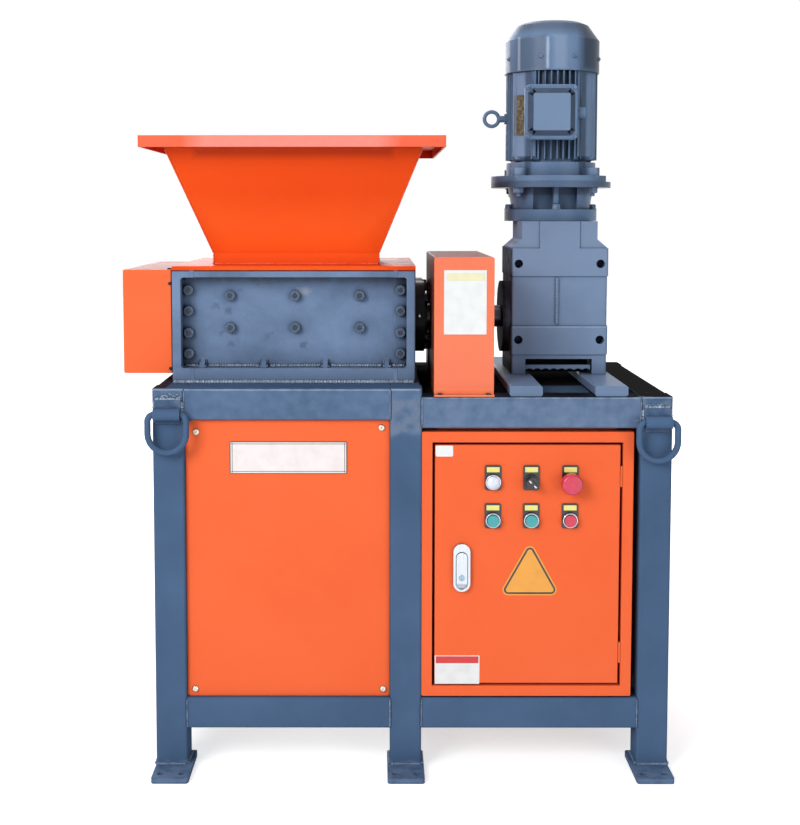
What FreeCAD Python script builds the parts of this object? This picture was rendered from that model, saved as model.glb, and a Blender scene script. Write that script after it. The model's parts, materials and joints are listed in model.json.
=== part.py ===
import FreeCAD, Part
import math
import os
from FreeCAD import Vector

# Double shaft shredder on a welded steel stand, all sizes in millimetres.
# Places are worked out from the middle of the stand on the floor, +X to the
# right as seen from the front, +Y to the back and +Z up. Every piece is saved
# with the origin under the middle of the whole machine's length.

# Stand of square tube
STAND_WIDTH = 980.0
STAND_DEPTH = 570.0
TUBE = 60.0
TUBE_WALL = 4.0
LEFT_BAY = 478.0
LEFT_TOP = 735.0
RIGHT_TOP = 720.0
LOWER_RAIL_Z = 80.0
DECK_THICKNESS = 8.0

# Foot plates
FOOT_LENGTH = 130.0
FOOT_WIDTH = 70.0
FOOT_THICKNESS = 10.0
FOOT_AHEAD = 65.0
FOOT_HOLE = 12.0
FOOT_HOLE_SPACING = 40.0
FOOT_HOLE_EDGE = 22.0

# Lifting rings
RING_WIDTH = 84.0
RING_DROP = 84.0
RING_BAR = 12.0
RING_BELOW_TOP = 46.0
RING_PLATE_WIDTH = 50.0
RING_PLATE_THICKNESS = 6.0
RING_SLEEVE_WALL = 5.0
RING_PLAY = 0.5
RING_CORNER = 13.0
RING_PLATE_ABOVE = 14.0
RING_PLATE_BELOW = 8.0
RING_PLATE_CORNER = 3.0
WEB_BELOW = 0.5
WEB_ABOVE = 0.95

# Sheet panels of the bays
PANEL_THICKNESS = 3.0
PANEL_RECESS = 10.0
PANEL_GAP = 0.3
PANEL_LIP = 14.0

# Control cabinet and its door
CABINET_WIDTH = 400.0
CABINET_HEIGHT = 510.0
CABINET_DEPTH = 200.0
CABINET_SHEET = 2.0
CABINET_BORDER = 20.0
CABINET_GAP = 3.0
CABINET_SETBACK = 3.0
CABINET_CORNER = 2.5
CABINET_FOLD = 16.0
MOUNT_INSET = 30.0
MOUNT_BAR = 30.0
DOOR_GAP = 5.0
HINGE_PIN = 4.4
HINGE_PIN_LENGTH = 40.0
HINGE_INSET = 40.0
DOOR_FOLD = 14.0
DOOR_EDGE = 1.5
HOLE_PLAY = 0.6

# Operators on the door, positions from the door's left edge and bottom
OPERATOR_COLUMNS = (109.5, 182.0, 255.5)
OPERATOR_ROWS = (317.0, 390.0)
BEZEL_DIAMETER = 30.0
BEZEL_HEIGHT = 6.0
HOLDER_WIDTH = 31.0
HOLDER_HEIGHT = 48.0
HOLDER_THICKNESS = 2.0
HOLDER_CORNER = 4.0
BEZEL_TAPER = 1.5
BORE_PLAY = 1.0
BARREL_DIAMETER = 30.0
BARREL_LENGTH = 40.0
BUTTON_DIAMETER = 22.0
BUTTON_REACH = 10.0
BUTTON_TRAVEL = 4.0
CAP_BACK = 1.0
CAP_EDGE = 1.2
LAMP_SEAT = 3.0
LAMP_RIM = 2.0
LAMP_DOME = 18.0
LAMP_DOME_SET = 11.2
KNOB_DISC = 6.0
KNOB_BACK = 2.0
KNOB_GRIP = 8.0
KNOB_REACH = 18.0
KNOB_EDGE = 2.0
SELECTOR_REST_ANGLE = 45.0
MUSHROOM_DIAMETER = 40.0
MUSHROOM_THICKNESS = 17.0
MUSHROOM_CLEARANCE = 5.0
MUSHROOM_STEM_SHORT = 2.0
MUSHROOM_EDGE = 6.0
HANDLE_WIDTH = 32.0
HANDLE_LENGTH = 92.0
HANDLE_RAISE = 8.0
HANDLE_FLOOR = 2.0
LEVER_WIDTH = 20.0
LEVER_LENGTH = 70.0
LEVER_PLAY = 1.5
LEVER_SEAT = 0.3
LEVER_FRONT = 9.0
LEVER_HEEL = 3.2
LEVER_DROP = 0.06
HANDLE_FROM_LEFT = 51.0
HANDLE_ABOVE_FOOT = 226.0

# Crushing box
BOX_INSET = 25.0
BOX_LENGTH = 473.0
BOX_HEIGHT = 219.0
BOX_FRONT = -195.0
BOX_BACK = 275.0
END_PLATE = 40.0
WALL_PLATE = 20.0
RIM_DEPTH = 35.0
RIM_SIDE = 14.0
RIM_BOTTOM = 28.0
RIM_EDGE = 2.0
RIM_POST = 17.0
RIM_CORNER = 6.0
PLATE_CORNER = 3.0
GUSSET_THICKNESS = 9.0
GUSSET_HEIGHT = 16.0
GUSSET_DEPTH = 22.0
GUSSET_COUNT = 4
GUSSET_END = 11.0

# Rotors
SHAFT_ABOVE_DECK = 117.0
FRONT_SHAFT_Y = -25.0
SHAFT_SPACING = 130.0
JOURNAL = 50.0
JOURNAL_HOLE_PLAY = 10.0
SHAFT_HEX = 62.0
SHAFT_PAST_GEAR = 5.0
SHAFT_CHAMFER = 2.0
TIP_GAP = 5.0
HOOK_DEPTH = 16.0
HOOK_BELLY = 7.0
HOOK_SPIRAL = 1.0 / 7.0
CUTTER_THICKNESS = 20.0
CUTTER_HOOKS = 5
SIDE_GAP = 5.0
SPACER_RADIUS = 43.0
HEX_PLAY = 0.5
COMB_BELOW = 44.0
COMB_ABOVE = 52.0
COMB_SHORT = 6.0
ROTOR_END_PLAY = 5.0

# Gears that keep the two rotors in step
GEAR_TEETH = 26
GEAR_FACE = 40.0
GEAR_BACKLASH = 0.9
GEAR_STAND_OFF = 15.0
GEAR_WEB_OUTER = 100.0
GEAR_WEB_INNER = 76.0
GEAR_WEB_DEPTH = 8.0

# Bearing housings
HOUSING_DIAMETER = 146.0
HOUSING_THICKNESS = 22.0
HOUSING_GAP = 1.0
BEARING_PLAY = 0.05
HOUSING_COLLAR = 96.0
HOUSING_COLLAR_LENGTH = 6.0

# Gear cover
COVER_LENGTH = 96.0
COVER_FRONT = -190.0
COVER_BACK = 230.0
COVER_ABOVE_DECK = 18.0
COVER_ABOVE_BOX = 1.0
COVER_SHEET = 3.0

# Outlet through the deck and the chute under it
OUTLET_LEDGE = 5.0
CHUTE_SHEET = 3.0
CHUTE_THROAT = 60.0
CHUTE_MOUTH_BOTTOM = 330.0
CHUTE_UNDER_RAIL = 6.0

# Hopper
HOPPER_SHEET = 4.0
HOPPER_BASE_THICKNESS = 8.0
HOPPER_CENTRE_Y = 40.0
NECK_LENGTH = 331.0
NECK_WIDTH = 290.0
NECK_HEIGHT = 22.0
MOUTH_LENGTH = 499.0
MOUTH_WIDTH = 440.0
HOPPER_RISE = 236.0
LIP_LENGTH = 586.0
LIP_WIDTH = 530.0
LIP_DROP = 22.0

# Guard over the coupling
GUARD_STAND_OFF = 33.0
GUARD_WIDTH = 113.0
GUARD_FRONT = -272.0
GUARD_BACK = 125.0
GUARD_HEIGHT = 262.0
GUARD_SHEET = 3.0
GUARD_SLOT = 84.0
GUARD_FOOT = 12.0

# Coupling between the gear unit and the front rotor
COUPLING_DIAMETER = 112.0
COUPLING_HUB = 78.0
COUPLING_INSET = 9.0
COUPLING_LENGTH = 94.0
COUPLING_RING = 8.0
COUPLING_RING_OUT = 9.0
COUPLING_CHAIN = 98.0
SHAFT_END_GAP = 1.0

# Gear unit with its sole rails
SOLE_WIDTH = 62.0
SOLE_THICKNESS = 20.0
SOLE_SPREAD = 161.0
SOLE_OFFSET = 4.5
SOLE_SETBACK = 5.0
SOLE_BACK_GAP = 10.0
SOLE_EDGE = 3.0
GEARBOX_STAND_OFF = 47.5
GEARBOX_WIDTH = 196.0
GEARBOX_FRONT = -106.0
GEARBOX_DEPTH = 186.0
GEARBOX_FOOT = 31.0
GEARBOX_HEIGHT = 308.0
SHOULDER_HEIGHT = 254.0
SHOULDER_WIDTH = 154.0
SHOULDER_CHAMFER = 18.0
ARCH_HEIGHT = 31.0
CASE_RELIEF = 3.0
CASE_CORNER = 6.0
CASE_LOW_BAND = (40.0, 98.0)
CASE_HIGH_BAND = (198.0, 254.0)
CASE_SPINE = 81.0
CASE_BOLT_X = 164.0
CASE_BOLT_LOW = 70.0
CASE_BOLT_HIGH = 223.0
CASE_BOLT_HOLE = 17.0
CASE_BOLT_DEPTH = 25.0
OUTPUT_HUB = 146.0
OUTPUT_HUB_LENGTH = 14.0
OUTPUT_SHAFT = 45.0
OUTPUT_SHAFT_IN = 40.0

# Motor standing on the gear unit
MOTOR_Y = 45.0
ADAPTER_FLANGE = 193.0
ADAPTER_FLANGE_HEIGHT = 24.0
ADAPTER_BOTTOM = 163.0
ADAPTER_TOP = 178.0
ADAPTER_HEIGHT = 45.0
ADAPTER_CORE = 104.0
ADAPTER_WINDOW = 45.0
ADAPTER_RIB = 10.0
MOTOR_FLANGE = 250.0
MOTOR_FLANGE_HEIGHT = 12.0
MOTOR_FLANGE_FLAT = 105.0
FLANGE_BOLT_CIRCLE = 215.0
SHIELD_HEIGHT = 28.0
SHIELD_DIAMETER = 186.0
SHIELD_LUG = 28.0
SHIELD_LUG_HEIGHT = 16.0
MOTOR_CORE = 164.0
MOTOR_BODY = 190.0
MOTOR_HEIGHT = 185.0
FIN_COUNT = 9
FIN_THICKNESS = 2.6
FIN_SPREAD = 100.0
FIN_ROOT = 4.0
FIN_START = 6.0
PAD_WIDTH = 60.0
PAD_REACH = 91.0
PAD_CUT = 12.0
MOTOR_BOSS = 30.0
COWL_DIAMETER = 197.0
COWL_HEIGHT = 104.0
COWL_STRAIGHT = 66.0
COWL_TOP = 151.0
COWL_SHEET = 2.5
COWL_SEAT = 10.0
COWL_PLAY = 0.3
COWL_EDGE = 6.0
COWL_CROWN = 14.0
COWL_SLOTS = 16
COWL_SLOT = 5.0
COWL_SLOT_IN = 18.0
COWL_SLOT_OUT = 56.0
TERMINAL_WIDTH = 106.0
TERMINAL_HEIGHT = 110.0
TERMINAL_DEPTH = 44.0
TERMINAL_CORNER = 9.0
TERMINAL_LID = 16.0
TERMINAL_OVERHANG = 4.0
TERMINAL_PANEL = 86.0
TERMINAL_PANEL_RAISE = 7.0
TERMINAL_PAD = 88.0
TERMINAL_UP = 5.0
TERMINAL_SIDE = -17.0
GLAND_DIAMETER = 24.0
GLAND_LENGTH = 22.0
MOTOR_SEAT = 0.3
EYE_RADIUS = 15.0
EYE_BAR = 8.0
EYE_OUT = 30.0
EYE_STEM = 14.0
EYE_COLLAR = 22.0
EYE_COLLAR_LENGTH = 4.0

HALF_WIDTH = STAND_WIDTH / 2
HALF_DEPTH = STAND_DEPTH / 2
MIDDLE_LEG_X = -HALF_WIDTH + LEFT_BAY
LEG_X = (-HALF_WIDTH + TUBE / 2, MIDDLE_LEG_X, HALF_WIDTH - TUBE / 2)
LEG_Y = HALF_DEPTH - TUBE / 2
LEG_TOPS = (LEFT_TOP, LEFT_TOP, RIGHT_TOP)
BOX_LEFT = -HALF_WIDTH + BOX_INSET
BOX_RIGHT = BOX_LEFT + BOX_LENGTH
HOPPER_CENTRE_X = (BOX_LEFT + BOX_RIGHT) / 2
GUARD_LEFT = BOX_RIGHT + GUARD_STAND_OFF
GUARD_RIGHT = GUARD_LEFT + GUARD_WIDTH
COUPLING_LEFT = GUARD_LEFT + COUPLING_INSET
GEARBOX_X = GUARD_RIGHT + GEARBOX_STAND_OFF + GEARBOX_WIDTH / 2
MACHINE_MIDDLE_X = (BOX_LEFT - COVER_LENGTH + LEG_X[2] + RING_WIDTH / 2) / 2
BOX_TOP = LEFT_TOP + BOX_HEIGHT
SHAFT_Z = LEFT_TOP + SHAFT_ABOVE_DECK
REAR_SHAFT_Y = FRONT_SHAFT_Y + SHAFT_SPACING
CHAMBER_LEFT = BOX_LEFT + END_PLATE
CHAMBER_RIGHT = BOX_RIGHT - END_PLATE
FRONT_WALL_Y = BOX_FRONT + RIM_DEPTH
BACK_WALL_Y = BOX_BACK - RIM_DEPTH - WALL_PLATE
SOLE_TOP = RIGHT_TOP + SOLE_THICKNESS
GEARBOX_BACK = GEARBOX_FRONT + GEARBOX_DEPTH
GEARBOX_TOP = SOLE_TOP + GEARBOX_HEIGHT
CUTTER_RADIUS = SHAFT_SPACING - SPACER_RADIUS - TIP_GAP
CUTTER_ROOT = CUTTER_RADIUS - HOOK_DEPTH
GEAR_MODULE = SHAFT_SPACING / GEAR_TEETH
SLOT_PITCH = CUTTER_THICKNESS + SIDE_GAP
ROTOR_ROOM = CHAMBER_RIGHT - CHAMBER_LEFT - 2 * ROTOR_END_PLAY
CUTTER_SLOTS = 2 * int((ROTOR_ROOM / SLOT_PITCH - 1) / 2) + 1
FIRST_SLOT = (CHAMBER_LEFT + CHAMBER_RIGHT - (CUTTER_SLOTS - 1) * SLOT_PITCH) / 2


def block(x0, x1, y0, y1, z0, z1):
    return Part.makeBox(x1 - x0, y1 - y0, z1 - z0, Vector(x0, y0, z0))


def rod(diameter, length, start, direction):
    return Part.makeCylinder(diameter / 2, length, Vector(*start), Vector(*direction))


def rod_x(diameter, x0, x1, y, z):
    return rod(diameter, x1 - x0, (x0, y, z), (1, 0, 0))


def rod_z(diameter, z0, z1, x, y):
    return rod(diameter, z1 - z0, (x, y, z0), (0, 0, 1))


def prism(points, direction):
    wire = Part.makePolygon([Vector(*p) for p in points + points[:1]])
    return Part.Face(wire).extrude(Vector(*direction))


def tube_between(x0, x1, y0, y1, z0, z1, along):
    wall = TUBE_WALL
    grow = {"x": (0, wall, wall), "y": (wall, 0, wall), "z": (wall, wall, 0)}[along]
    cap = wall if along == "z" else 0
    inner = block(x0 + grow[0], x1 - grow[0], y0 + grow[1], y1 - grow[1],
                  z0 + grow[2], z1 - grow[2] - cap)
    outer = block(x0, x1, y0, y1, z0, z1)
    edges = [e for e in outer.Edges if runs_along(e, along)]
    return outer.makeFillet(TUBE_WALL * 1.25, edges).cut(inner)


def runs_along(edge, along):
    start, end = edge.Vertexes[0].Point, edge.Vertexes[-1].Point
    step = end - start
    size = {"x": abs(step.x), "y": abs(step.y), "z": abs(step.z)}
    return size[along] > 0.99 * step.Length


def save(name, *solids):
    shape = solids[0] if len(solids) == 1 else Part.makeCompound(list(solids))
    shape.translate(Vector(-MACHINE_MIDDLE_X, 0, 0))
    shape.exportStep("parts/" + name + ".step")


# Stand

def make_legs():
    legs = []
    for x, top in zip(LEG_X, LEG_TOPS):
        for y in (-LEG_Y, LEG_Y):
            legs.append(tube_between(x - TUBE / 2, x + TUBE / 2, y - TUBE / 2, y + TUBE / 2,
                                     FOOT_THICKNESS, top, "z"))
    return legs


def make_foot_plates():
    feet = []
    for x in LEG_X:
        side = 0 if x == MIDDLE_LEG_X else math.copysign(1, x)
        low = x - FOOT_WIDTH / 2 - side * (FOOT_WIDTH - TUBE) / 2
        for end in (-1, 1):
            outer = end * (HALF_DEPTH + FOOT_AHEAD)
            inner = outer - end * FOOT_LENGTH
            plate = block(low, low + FOOT_WIDTH, min(outer, inner), max(outer, inner), 0, FOOT_THICKNESS)
            plate = plate.makeFillet(6, [e for e in plate.Edges if runs_along(e, "z")])
            for shift in (-FOOT_HOLE_SPACING / 2, FOOT_HOLE_SPACING / 2):
                hole_x = low + FOOT_WIDTH / 2 + shift
                plate = plate.cut(rod_z(FOOT_HOLE, -1, FOOT_THICKNESS + 1, hole_x,
                                        outer - end * FOOT_HOLE_EDGE))
            feet.append(plate)
    return feet


def bay_limits():
    return [(LEG_X[0] + TUBE / 2, LEG_X[1] - TUBE / 2), (LEG_X[1] + TUBE / 2, LEG_X[2] - TUBE / 2)]


def make_rails(left_z, right_z):
    rails = []
    for (x0, x1), z in zip(bay_limits(), (left_z, right_z)):
        for y in (-LEG_Y, LEG_Y):
            rails.append(tube_between(x0, x1, y - TUBE / 2, y + TUBE / 2, z, z + TUBE, "x"))
    for x, z in zip(LEG_X, (left_z, left_z, right_z)):
        rails.append(tube_between(x - TUBE / 2, x + TUBE / 2, -LEG_Y + TUBE / 2, LEG_Y - TUBE / 2,
                                  z, z + TUBE, "y"))
    return rails


def deck(bay, top):
    x0, x1 = bay_limits()[bay]
    return block(x0, x1, -LEG_Y + TUBE / 2, LEG_Y - TUBE / 2, top - DECK_THICKNESS, top)


def make_left_deck():
    x0, x1, y0, y1 = outlet_limits()
    return deck(0, LEFT_TOP).cut(block(x0, x1, y0, y1, LEFT_TOP - DECK_THICKNESS - 1, LEFT_TOP + 1))


def outlet_limits():
    """Opening in the left deck under the chamber, inside the chamber and the bay."""
    x0 = max(CHAMBER_LEFT, bay_limits()[0][0]) + OUTLET_LEDGE
    x1 = min(CHAMBER_RIGHT, bay_limits()[0][1]) - OUTLET_LEDGE
    y1 = min(BACK_WALL_Y, LEG_Y - TUBE / 2 - OUTLET_LEDGE)
    return x0, x1, FRONT_WALL_Y + WALL_PLATE, y1


# Lifting rings on the corner posts

def ring_places():
    places = {}
    for side, x, top in (("left", LEG_X[0], LEFT_TOP), ("right", LEG_X[2], RIGHT_TOP)):
        for name, end in (("front", -1), ("rear", 1)):
            places[name + "_" + side] = (x, end, top - RING_BELOW_TOP)
    return places


def sleeve_radius():
    return RING_BAR / 2 + RING_PLAY + RING_SLEEVE_WALL


def pivot_y(end):
    return end * (HALF_DEPTH + RING_PLATE_THICKNESS + sleeve_radius())


def ring_bracket(x, end, z):
    """Plate on the post with a bored sleeve for the ring and a web that joins the two."""
    radius = sleeve_radius()
    outside = end * (HALF_DEPTH + RING_PLATE_THICKNESS)
    half = RING_PLATE_WIDTH / 2
    near, far = sorted((end * HALF_DEPTH, outside))
    low, high = z - radius - RING_PLATE_BELOW, z + radius + RING_PLATE_ABOVE
    plate = block(x - half, x + half, near, far, low, high)
    plate = plate.makeFillet(RING_PLATE_CORNER, [e for e in plate.Edges if runs_along(e, "y")])
    sleeve = rod_x(2 * radius, x - half, x + half, pivot_y(end), z)
    near, far = sorted((outside, pivot_y(end)))
    web = block(x - half, x + half, near, far, z - radius * WEB_BELOW, z + radius * WEB_ABOVE)
    bore = rod_x(RING_BAR + 2 * RING_PLAY, x - half - 1, x + half + 1, pivot_y(end), z)
    return plate.fuse([sleeve, web]).cut(bore).removeSplitter()


def lifting_ring(x, end, z):
    """D ring of round bar: a straight top through the sleeve, two corners and a bow."""
    y = pivot_y(end)
    half = (RING_WIDTH - RING_BAR) / 2
    corner_x, corner_z = half - RING_CORNER, z - RING_CORNER
    bow_z = z - (RING_DROP - RING_BAR) + half
    pieces = [rod_z(RING_BAR, bow_z, corner_z, x - half, y), rod_z(RING_BAR, bow_z, corner_z, x + half, y),
              bend(x + corner_x, y, corner_z, RING_CORNER, 0, 90),
              bend(x - corner_x, y, corner_z, RING_CORNER, 90, 90),
              bend(x, y, bow_z, half, 180, 180)]
    return rod_x(RING_BAR, x - corner_x, x + corner_x, y, z).fuse(pieces).removeSplitter()


def bend(x, y, z, radius, first, turn):
    """Round bar bent about a point, from its first angle through its turn in degrees."""
    a = math.radians(first)
    start = Vector(x + radius * math.cos(a), y, z + radius * math.sin(a))
    circle = Part.Circle(start, Vector(-math.sin(a), 0, math.cos(a)), RING_BAR / 2)
    disc = Part.Face(Part.Wire(circle.toShape()))
    return disc.revolve(Vector(x, y, z), Vector(0, -1, 0), turn)


# Panels of the bays

def front_style_panel(bay, end, rail_top):
    x0, x1 = bay_limits()[bay]
    z0 = LOWER_RAIL_Z + TUBE
    face = end * (HALF_DEPTH - PANEL_RECESS)
    near, far = sorted((face, face - end * PANEL_THICKNESS))
    x0, x1 = x0 + PANEL_GAP, x1 - PANEL_GAP
    z0, z1 = z0 + PANEL_GAP, rail_top - TUBE - PANEL_GAP
    sheet = block(x0, x1, near, far, z0, z1)
    back0, back1 = sorted((face - end * PANEL_THICKNESS, face - end * (PANEL_THICKNESS + PANEL_LIP)))
    frame = block(x0, x1, back0, back1, z0, z1)
    t = PANEL_THICKNESS
    frame = frame.cut(block(x0 + t, x1 - t, back0 - 1, back1 + 1, z0 + t, z1 - t))
    return sheet.fuse(frame).removeSplitter()


def side_panel(x, rail_top):
    side = math.copysign(1, x)
    face = side * (HALF_WIDTH - PANEL_RECESS)
    near, far = sorted((face, face - side * PANEL_THICKNESS))
    y = LEG_Y - TUBE / 2 - PANEL_GAP
    z0, z1 = LOWER_RAIL_Z + TUBE + PANEL_GAP, rail_top - TUBE - PANEL_GAP
    sheet = block(near, far, -y, y, z0, z1)
    back0, back1 = sorted((face - side * PANEL_THICKNESS, face - side * (PANEL_THICKNESS + PANEL_LIP)))
    frame = block(back0, back1, -y, y, z0, z1)
    t = PANEL_THICKNESS
    frame = frame.cut(block(back0 - 1, back1 + 1, -y + t, y - t, z0 + t, z1 - t))
    return sheet.fuse(frame).removeSplitter()


def make_discharge_chute():
    """Sheet chute from the outlet to the open back of the left bay."""
    t = CHUTE_SHEET
    x0, x1, y0, y1 = outlet_limits()
    x0, x1, y0, y1 = x0 - t, x1 + t, y0 - t, y1 + t
    mouth = LEG_Y - TUBE / 2
    top = LEFT_TOP - DECK_THICKNESS
    bend = top - CHUTE_THROAT
    low = CHUTE_MOUTH_BOTTOM
    high = LEFT_TOP - TUBE - CHUTE_UNDER_RAIL
    profile = [(x0, y0, top), (x0, y0, bend), (x0, mouth, low), (x0, mouth, high),
               (x0, y1, high), (x0, y1, top)]
    outer = prism(profile, (x1 - x0, 0, 0))
    slope = t * math.hypot(mouth - y0, bend - low) / (mouth - y0)
    inner = [(x0 + t, y0 + t, top + 1), (x0 + t, y0 + t, bend + slope),
             (x0 + t, mouth + 1, low + slope), (x0 + t, mouth + 1, high - t),
             (x0 + t, y1 - t, high - t), (x0 + t, y1 - t, top + 1)]
    return outer.cut(prism(inner, (x1 - x0 - 2 * t, 0, 0)))


# Control cabinet

def cabinet_limits():
    x0 = bay_limits()[1][0]
    z0 = LOWER_RAIL_Z + TUBE + CABINET_GAP
    y0 = -HALF_DEPTH + CABINET_SETBACK
    return x0, x0 + CABINET_WIDTH, y0, y0 + CABINET_DEPTH, z0, z0 + CABINET_HEIGHT


def door_limits():
    x0, x1, y0, y1, z0, z1 = cabinet_limits()
    edge = CABINET_BORDER + DOOR_GAP
    return x0 + edge, x1 - edge, y0, y0 + DOOR_FOLD, z0 + edge, z1 - edge


def make_cabinet():
    """Folded sheet box with a border round the door and a fold behind the border."""
    x0, x1, y0, y1, z0, z1 = cabinet_limits()
    t, b = CABINET_SHEET, CABINET_BORDER
    shell = block(x0, x1, y0, y1, z0, z1)
    shell = shell.makeFillet(CABINET_CORNER, [e for e in shell.Edges if runs_along(e, "y")])
    room = block(x0 + t, x1 - t, y0 + t, y1 - t, z0 + t, z1 - t)
    mouth = block(x0 + b, x1 - b, y0 - 1, y0 + CABINET_FOLD + 1, z0 + b, z1 - b)
    fold = block(x0 + b - t, x1 - b + t, y0 + t, y0 + CABINET_FOLD, z0 + b - t, z1 - b + t)
    return shell.cut(room).fuse(fold).cut(mouth).removeSplitter()


def cabinet_mounts():
    """Bar under the cabinet's front edge and bar from its top to the upper rails."""
    x0, x1, y0, y1, z0, z1 = cabinet_limits()
    x0, x1 = x0 + MOUNT_INSET, x1 - MOUNT_INSET
    front, inside = y0 + MOUNT_BAR / 2, -LEG_Y + TUBE / 2
    return [block(x0, x1, front, front + MOUNT_BAR, LOWER_RAIL_Z + TUBE, z0),
            block(x0, x1, inside - MOUNT_BAR, inside, z1, RIGHT_TOP - TUBE)]


def make_door():
    x0, x1, y0, y1, z0, z1 = door_limits()
    t = CABINET_SHEET
    panel = block(x0, x1, y0, y1, z0, z1)
    panel = panel.makeFillet(DOOR_EDGE, [e for e in panel.Faces[2].Edges])
    room = block(x0 + t, x1 - t, y0 + t, y1 + 1, z0 + t, z1 - t)
    door = panel.cut(room)
    for x, z in operator_places():
        door = door.cut(rod(BUTTON_DIAMETER + HOLE_PLAY, 20, (x, y0 - 2, z), (0, 1, 0)))
    return door


def hinge_axis():
    x0, x1, y0, y1, z0, z1 = door_limits()
    return x1 + DOOR_GAP / 2, y0 + 1.0


def make_hinge_pins():
    """Two short pins in the gap beside the door, each with a leaf on the border."""
    x, y = hinge_axis()
    x0, x1, y0, y1, z0, z1 = door_limits()
    pins = []
    for z in (z0 + HINGE_INSET, z1 - HINGE_INSET - HINGE_PIN_LENGTH):
        pin = rod_z(HINGE_PIN, z, z + HINGE_PIN_LENGTH, x, y)
        leaf = block(x, x + DOOR_GAP / 2, y, y + HINGE_PIN / 2, z + 2, z + HINGE_PIN_LENGTH - 2)
        pins.append(pin.fuse(leaf).removeSplitter())
    return pins


def operator_places():
    x0, x1, y0, y1, z0, z1 = door_limits()
    return [(x0 + column, z0 + row) for row in OPERATOR_ROWS for column in OPERATOR_COLUMNS]


def operator_holder(x, z, face):
    low = z - BEZEL_DIAMETER / 2 - 1
    plate = block(x - HOLDER_WIDTH / 2, x + HOLDER_WIDTH / 2, face - HOLDER_THICKNESS, face,
                  low, low + HOLDER_HEIGHT)
    plate = plate.makeFillet(HOLDER_CORNER, [e for e in plate.Edges if runs_along(e, "y")])
    bezel = Part.makeCone(BEZEL_DIAMETER / 2 - BEZEL_TAPER, BEZEL_DIAMETER / 2, BEZEL_HEIGHT,
                          Vector(x, face - HOLDER_THICKNESS - BEZEL_HEIGHT, z), Vector(0, 1, 0))
    barrel = rod(BARREL_DIAMETER, BARREL_LENGTH, (x, face + CABINET_SHEET, z), (0, 1, 0))
    neck = rod(BUTTON_DIAMETER, CABINET_SHEET + HOLDER_THICKNESS,
               (x, face - HOLDER_THICKNESS, z), (0, 1, 0))
    bore = rod(BUTTON_DIAMETER + BORE_PLAY, BEZEL_HEIGHT + 4,
               (x, face - HOLDER_THICKNESS - BEZEL_HEIGHT - 1, z), (0, 1, 0))
    return plate.fuse([bezel, barrel, neck]).cut(bore).removeSplitter()


def make_operators():
    face = door_limits()[2]
    housings = [operator_holder(x, z, face) for x, z in operator_places()]
    save("operator_housings", *housings)
    front = face - HOLDER_THICKNESS - BEZEL_HEIGHT
    seat = front + BEZEL_HEIGHT + LAMP_SEAT
    names = ("start_button_left", "start_button_right", "stop_button",
             "lamp", "selector_knob", "mushroom_button")
    for name, (x, z) in zip(names, operator_places()):
        save(name, operator_cap(name, x, z, front, seat))


def operator_cap(name, x, z, front, seat):
    if name == "lamp":
        stem = rod(BUTTON_DIAMETER, seat - front + LAMP_RIM, (x, front - LAMP_RIM, z), (0, 1, 0))
        dome = Part.makeSphere(LAMP_DOME, Vector(x, front + LAMP_DOME_SET, z))
        wide = 2 * LAMP_DOME
        cut = block(x - wide, x + wide, front - LAMP_RIM, front + wide, z - wide, z + wide)
        return stem.fuse(dome.cut(cut)).removeSplitter()
    if name == "mushroom_button":
        back = BUTTON_TRAVEL + MUSHROOM_CLEARANCE
        face = front - back - MUSHROOM_THICKNESS
        length = back + BEZEL_HEIGHT - MUSHROOM_STEM_SHORT
        stem = rod(BUTTON_DIAMETER, length, (x, front - back, z), (0, 1, 0))
        head = rod(MUSHROOM_DIAMETER, MUSHROOM_THICKNESS, (x, face, z), (0, 1, 0))
        rim = [e for e in head.Edges if e.BoundBox.YMax < face + 0.01]
        return stem.fuse(head.makeFillet(MUSHROOM_EDGE, rim)).removeSplitter()
    if name == "selector_knob":
        length = KNOB_DISC + BEZEL_HEIGHT + KNOB_BACK
        disc = rod(BUTTON_DIAMETER, length, (x, front - KNOB_DISC, z), (0, 1, 0))
        half, reach = KNOB_GRIP / 2, BUTTON_DIAMETER / 2
        grip = block(x - half, x + half, front - KNOB_REACH, front - KNOB_DISC, z - reach, z + reach)
        grip = grip.makeFillet(KNOB_EDGE, [e for e in grip.Edges if runs_along(e, "z")][:2])
        grip = grip.common(rod(BUTTON_DIAMETER, KNOB_REACH, (x, front - KNOB_REACH, z), (0, 1, 0)))
        grip.rotate(Vector(x, 0, z), Vector(0, 1, 0), -SELECTOR_REST_ANGLE)
        return disc.fuse(grip).removeSplitter()
    length = BUTTON_REACH / 2 + BEZEL_HEIGHT - BUTTON_TRAVEL + CAP_BACK
    cap = rod(BUTTON_DIAMETER, length, (x, front - BUTTON_REACH / 2, z), (0, 1, 0))
    return cap.makeFillet(CAP_EDGE, [cap.Edges[0]])


def handle_centre():
    x0, x1, y0, y1, z0, z1 = door_limits()
    return x0 + HANDLE_FROM_LEFT, z0 + HANDLE_ABOVE_FOOT, y0


def stadium(width, length, y, depth, x, z):
    r = width / 2
    straight = block(x - r, x + r, y, y + depth, z - length / 2 + r, z + length / 2 - r)
    ends = [rod(width, depth, (x, y, z + s * (length / 2 - r)), (0, 1, 0)) for s in (-1, 1)]
    return straight.fuse(ends).removeSplitter()


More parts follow.
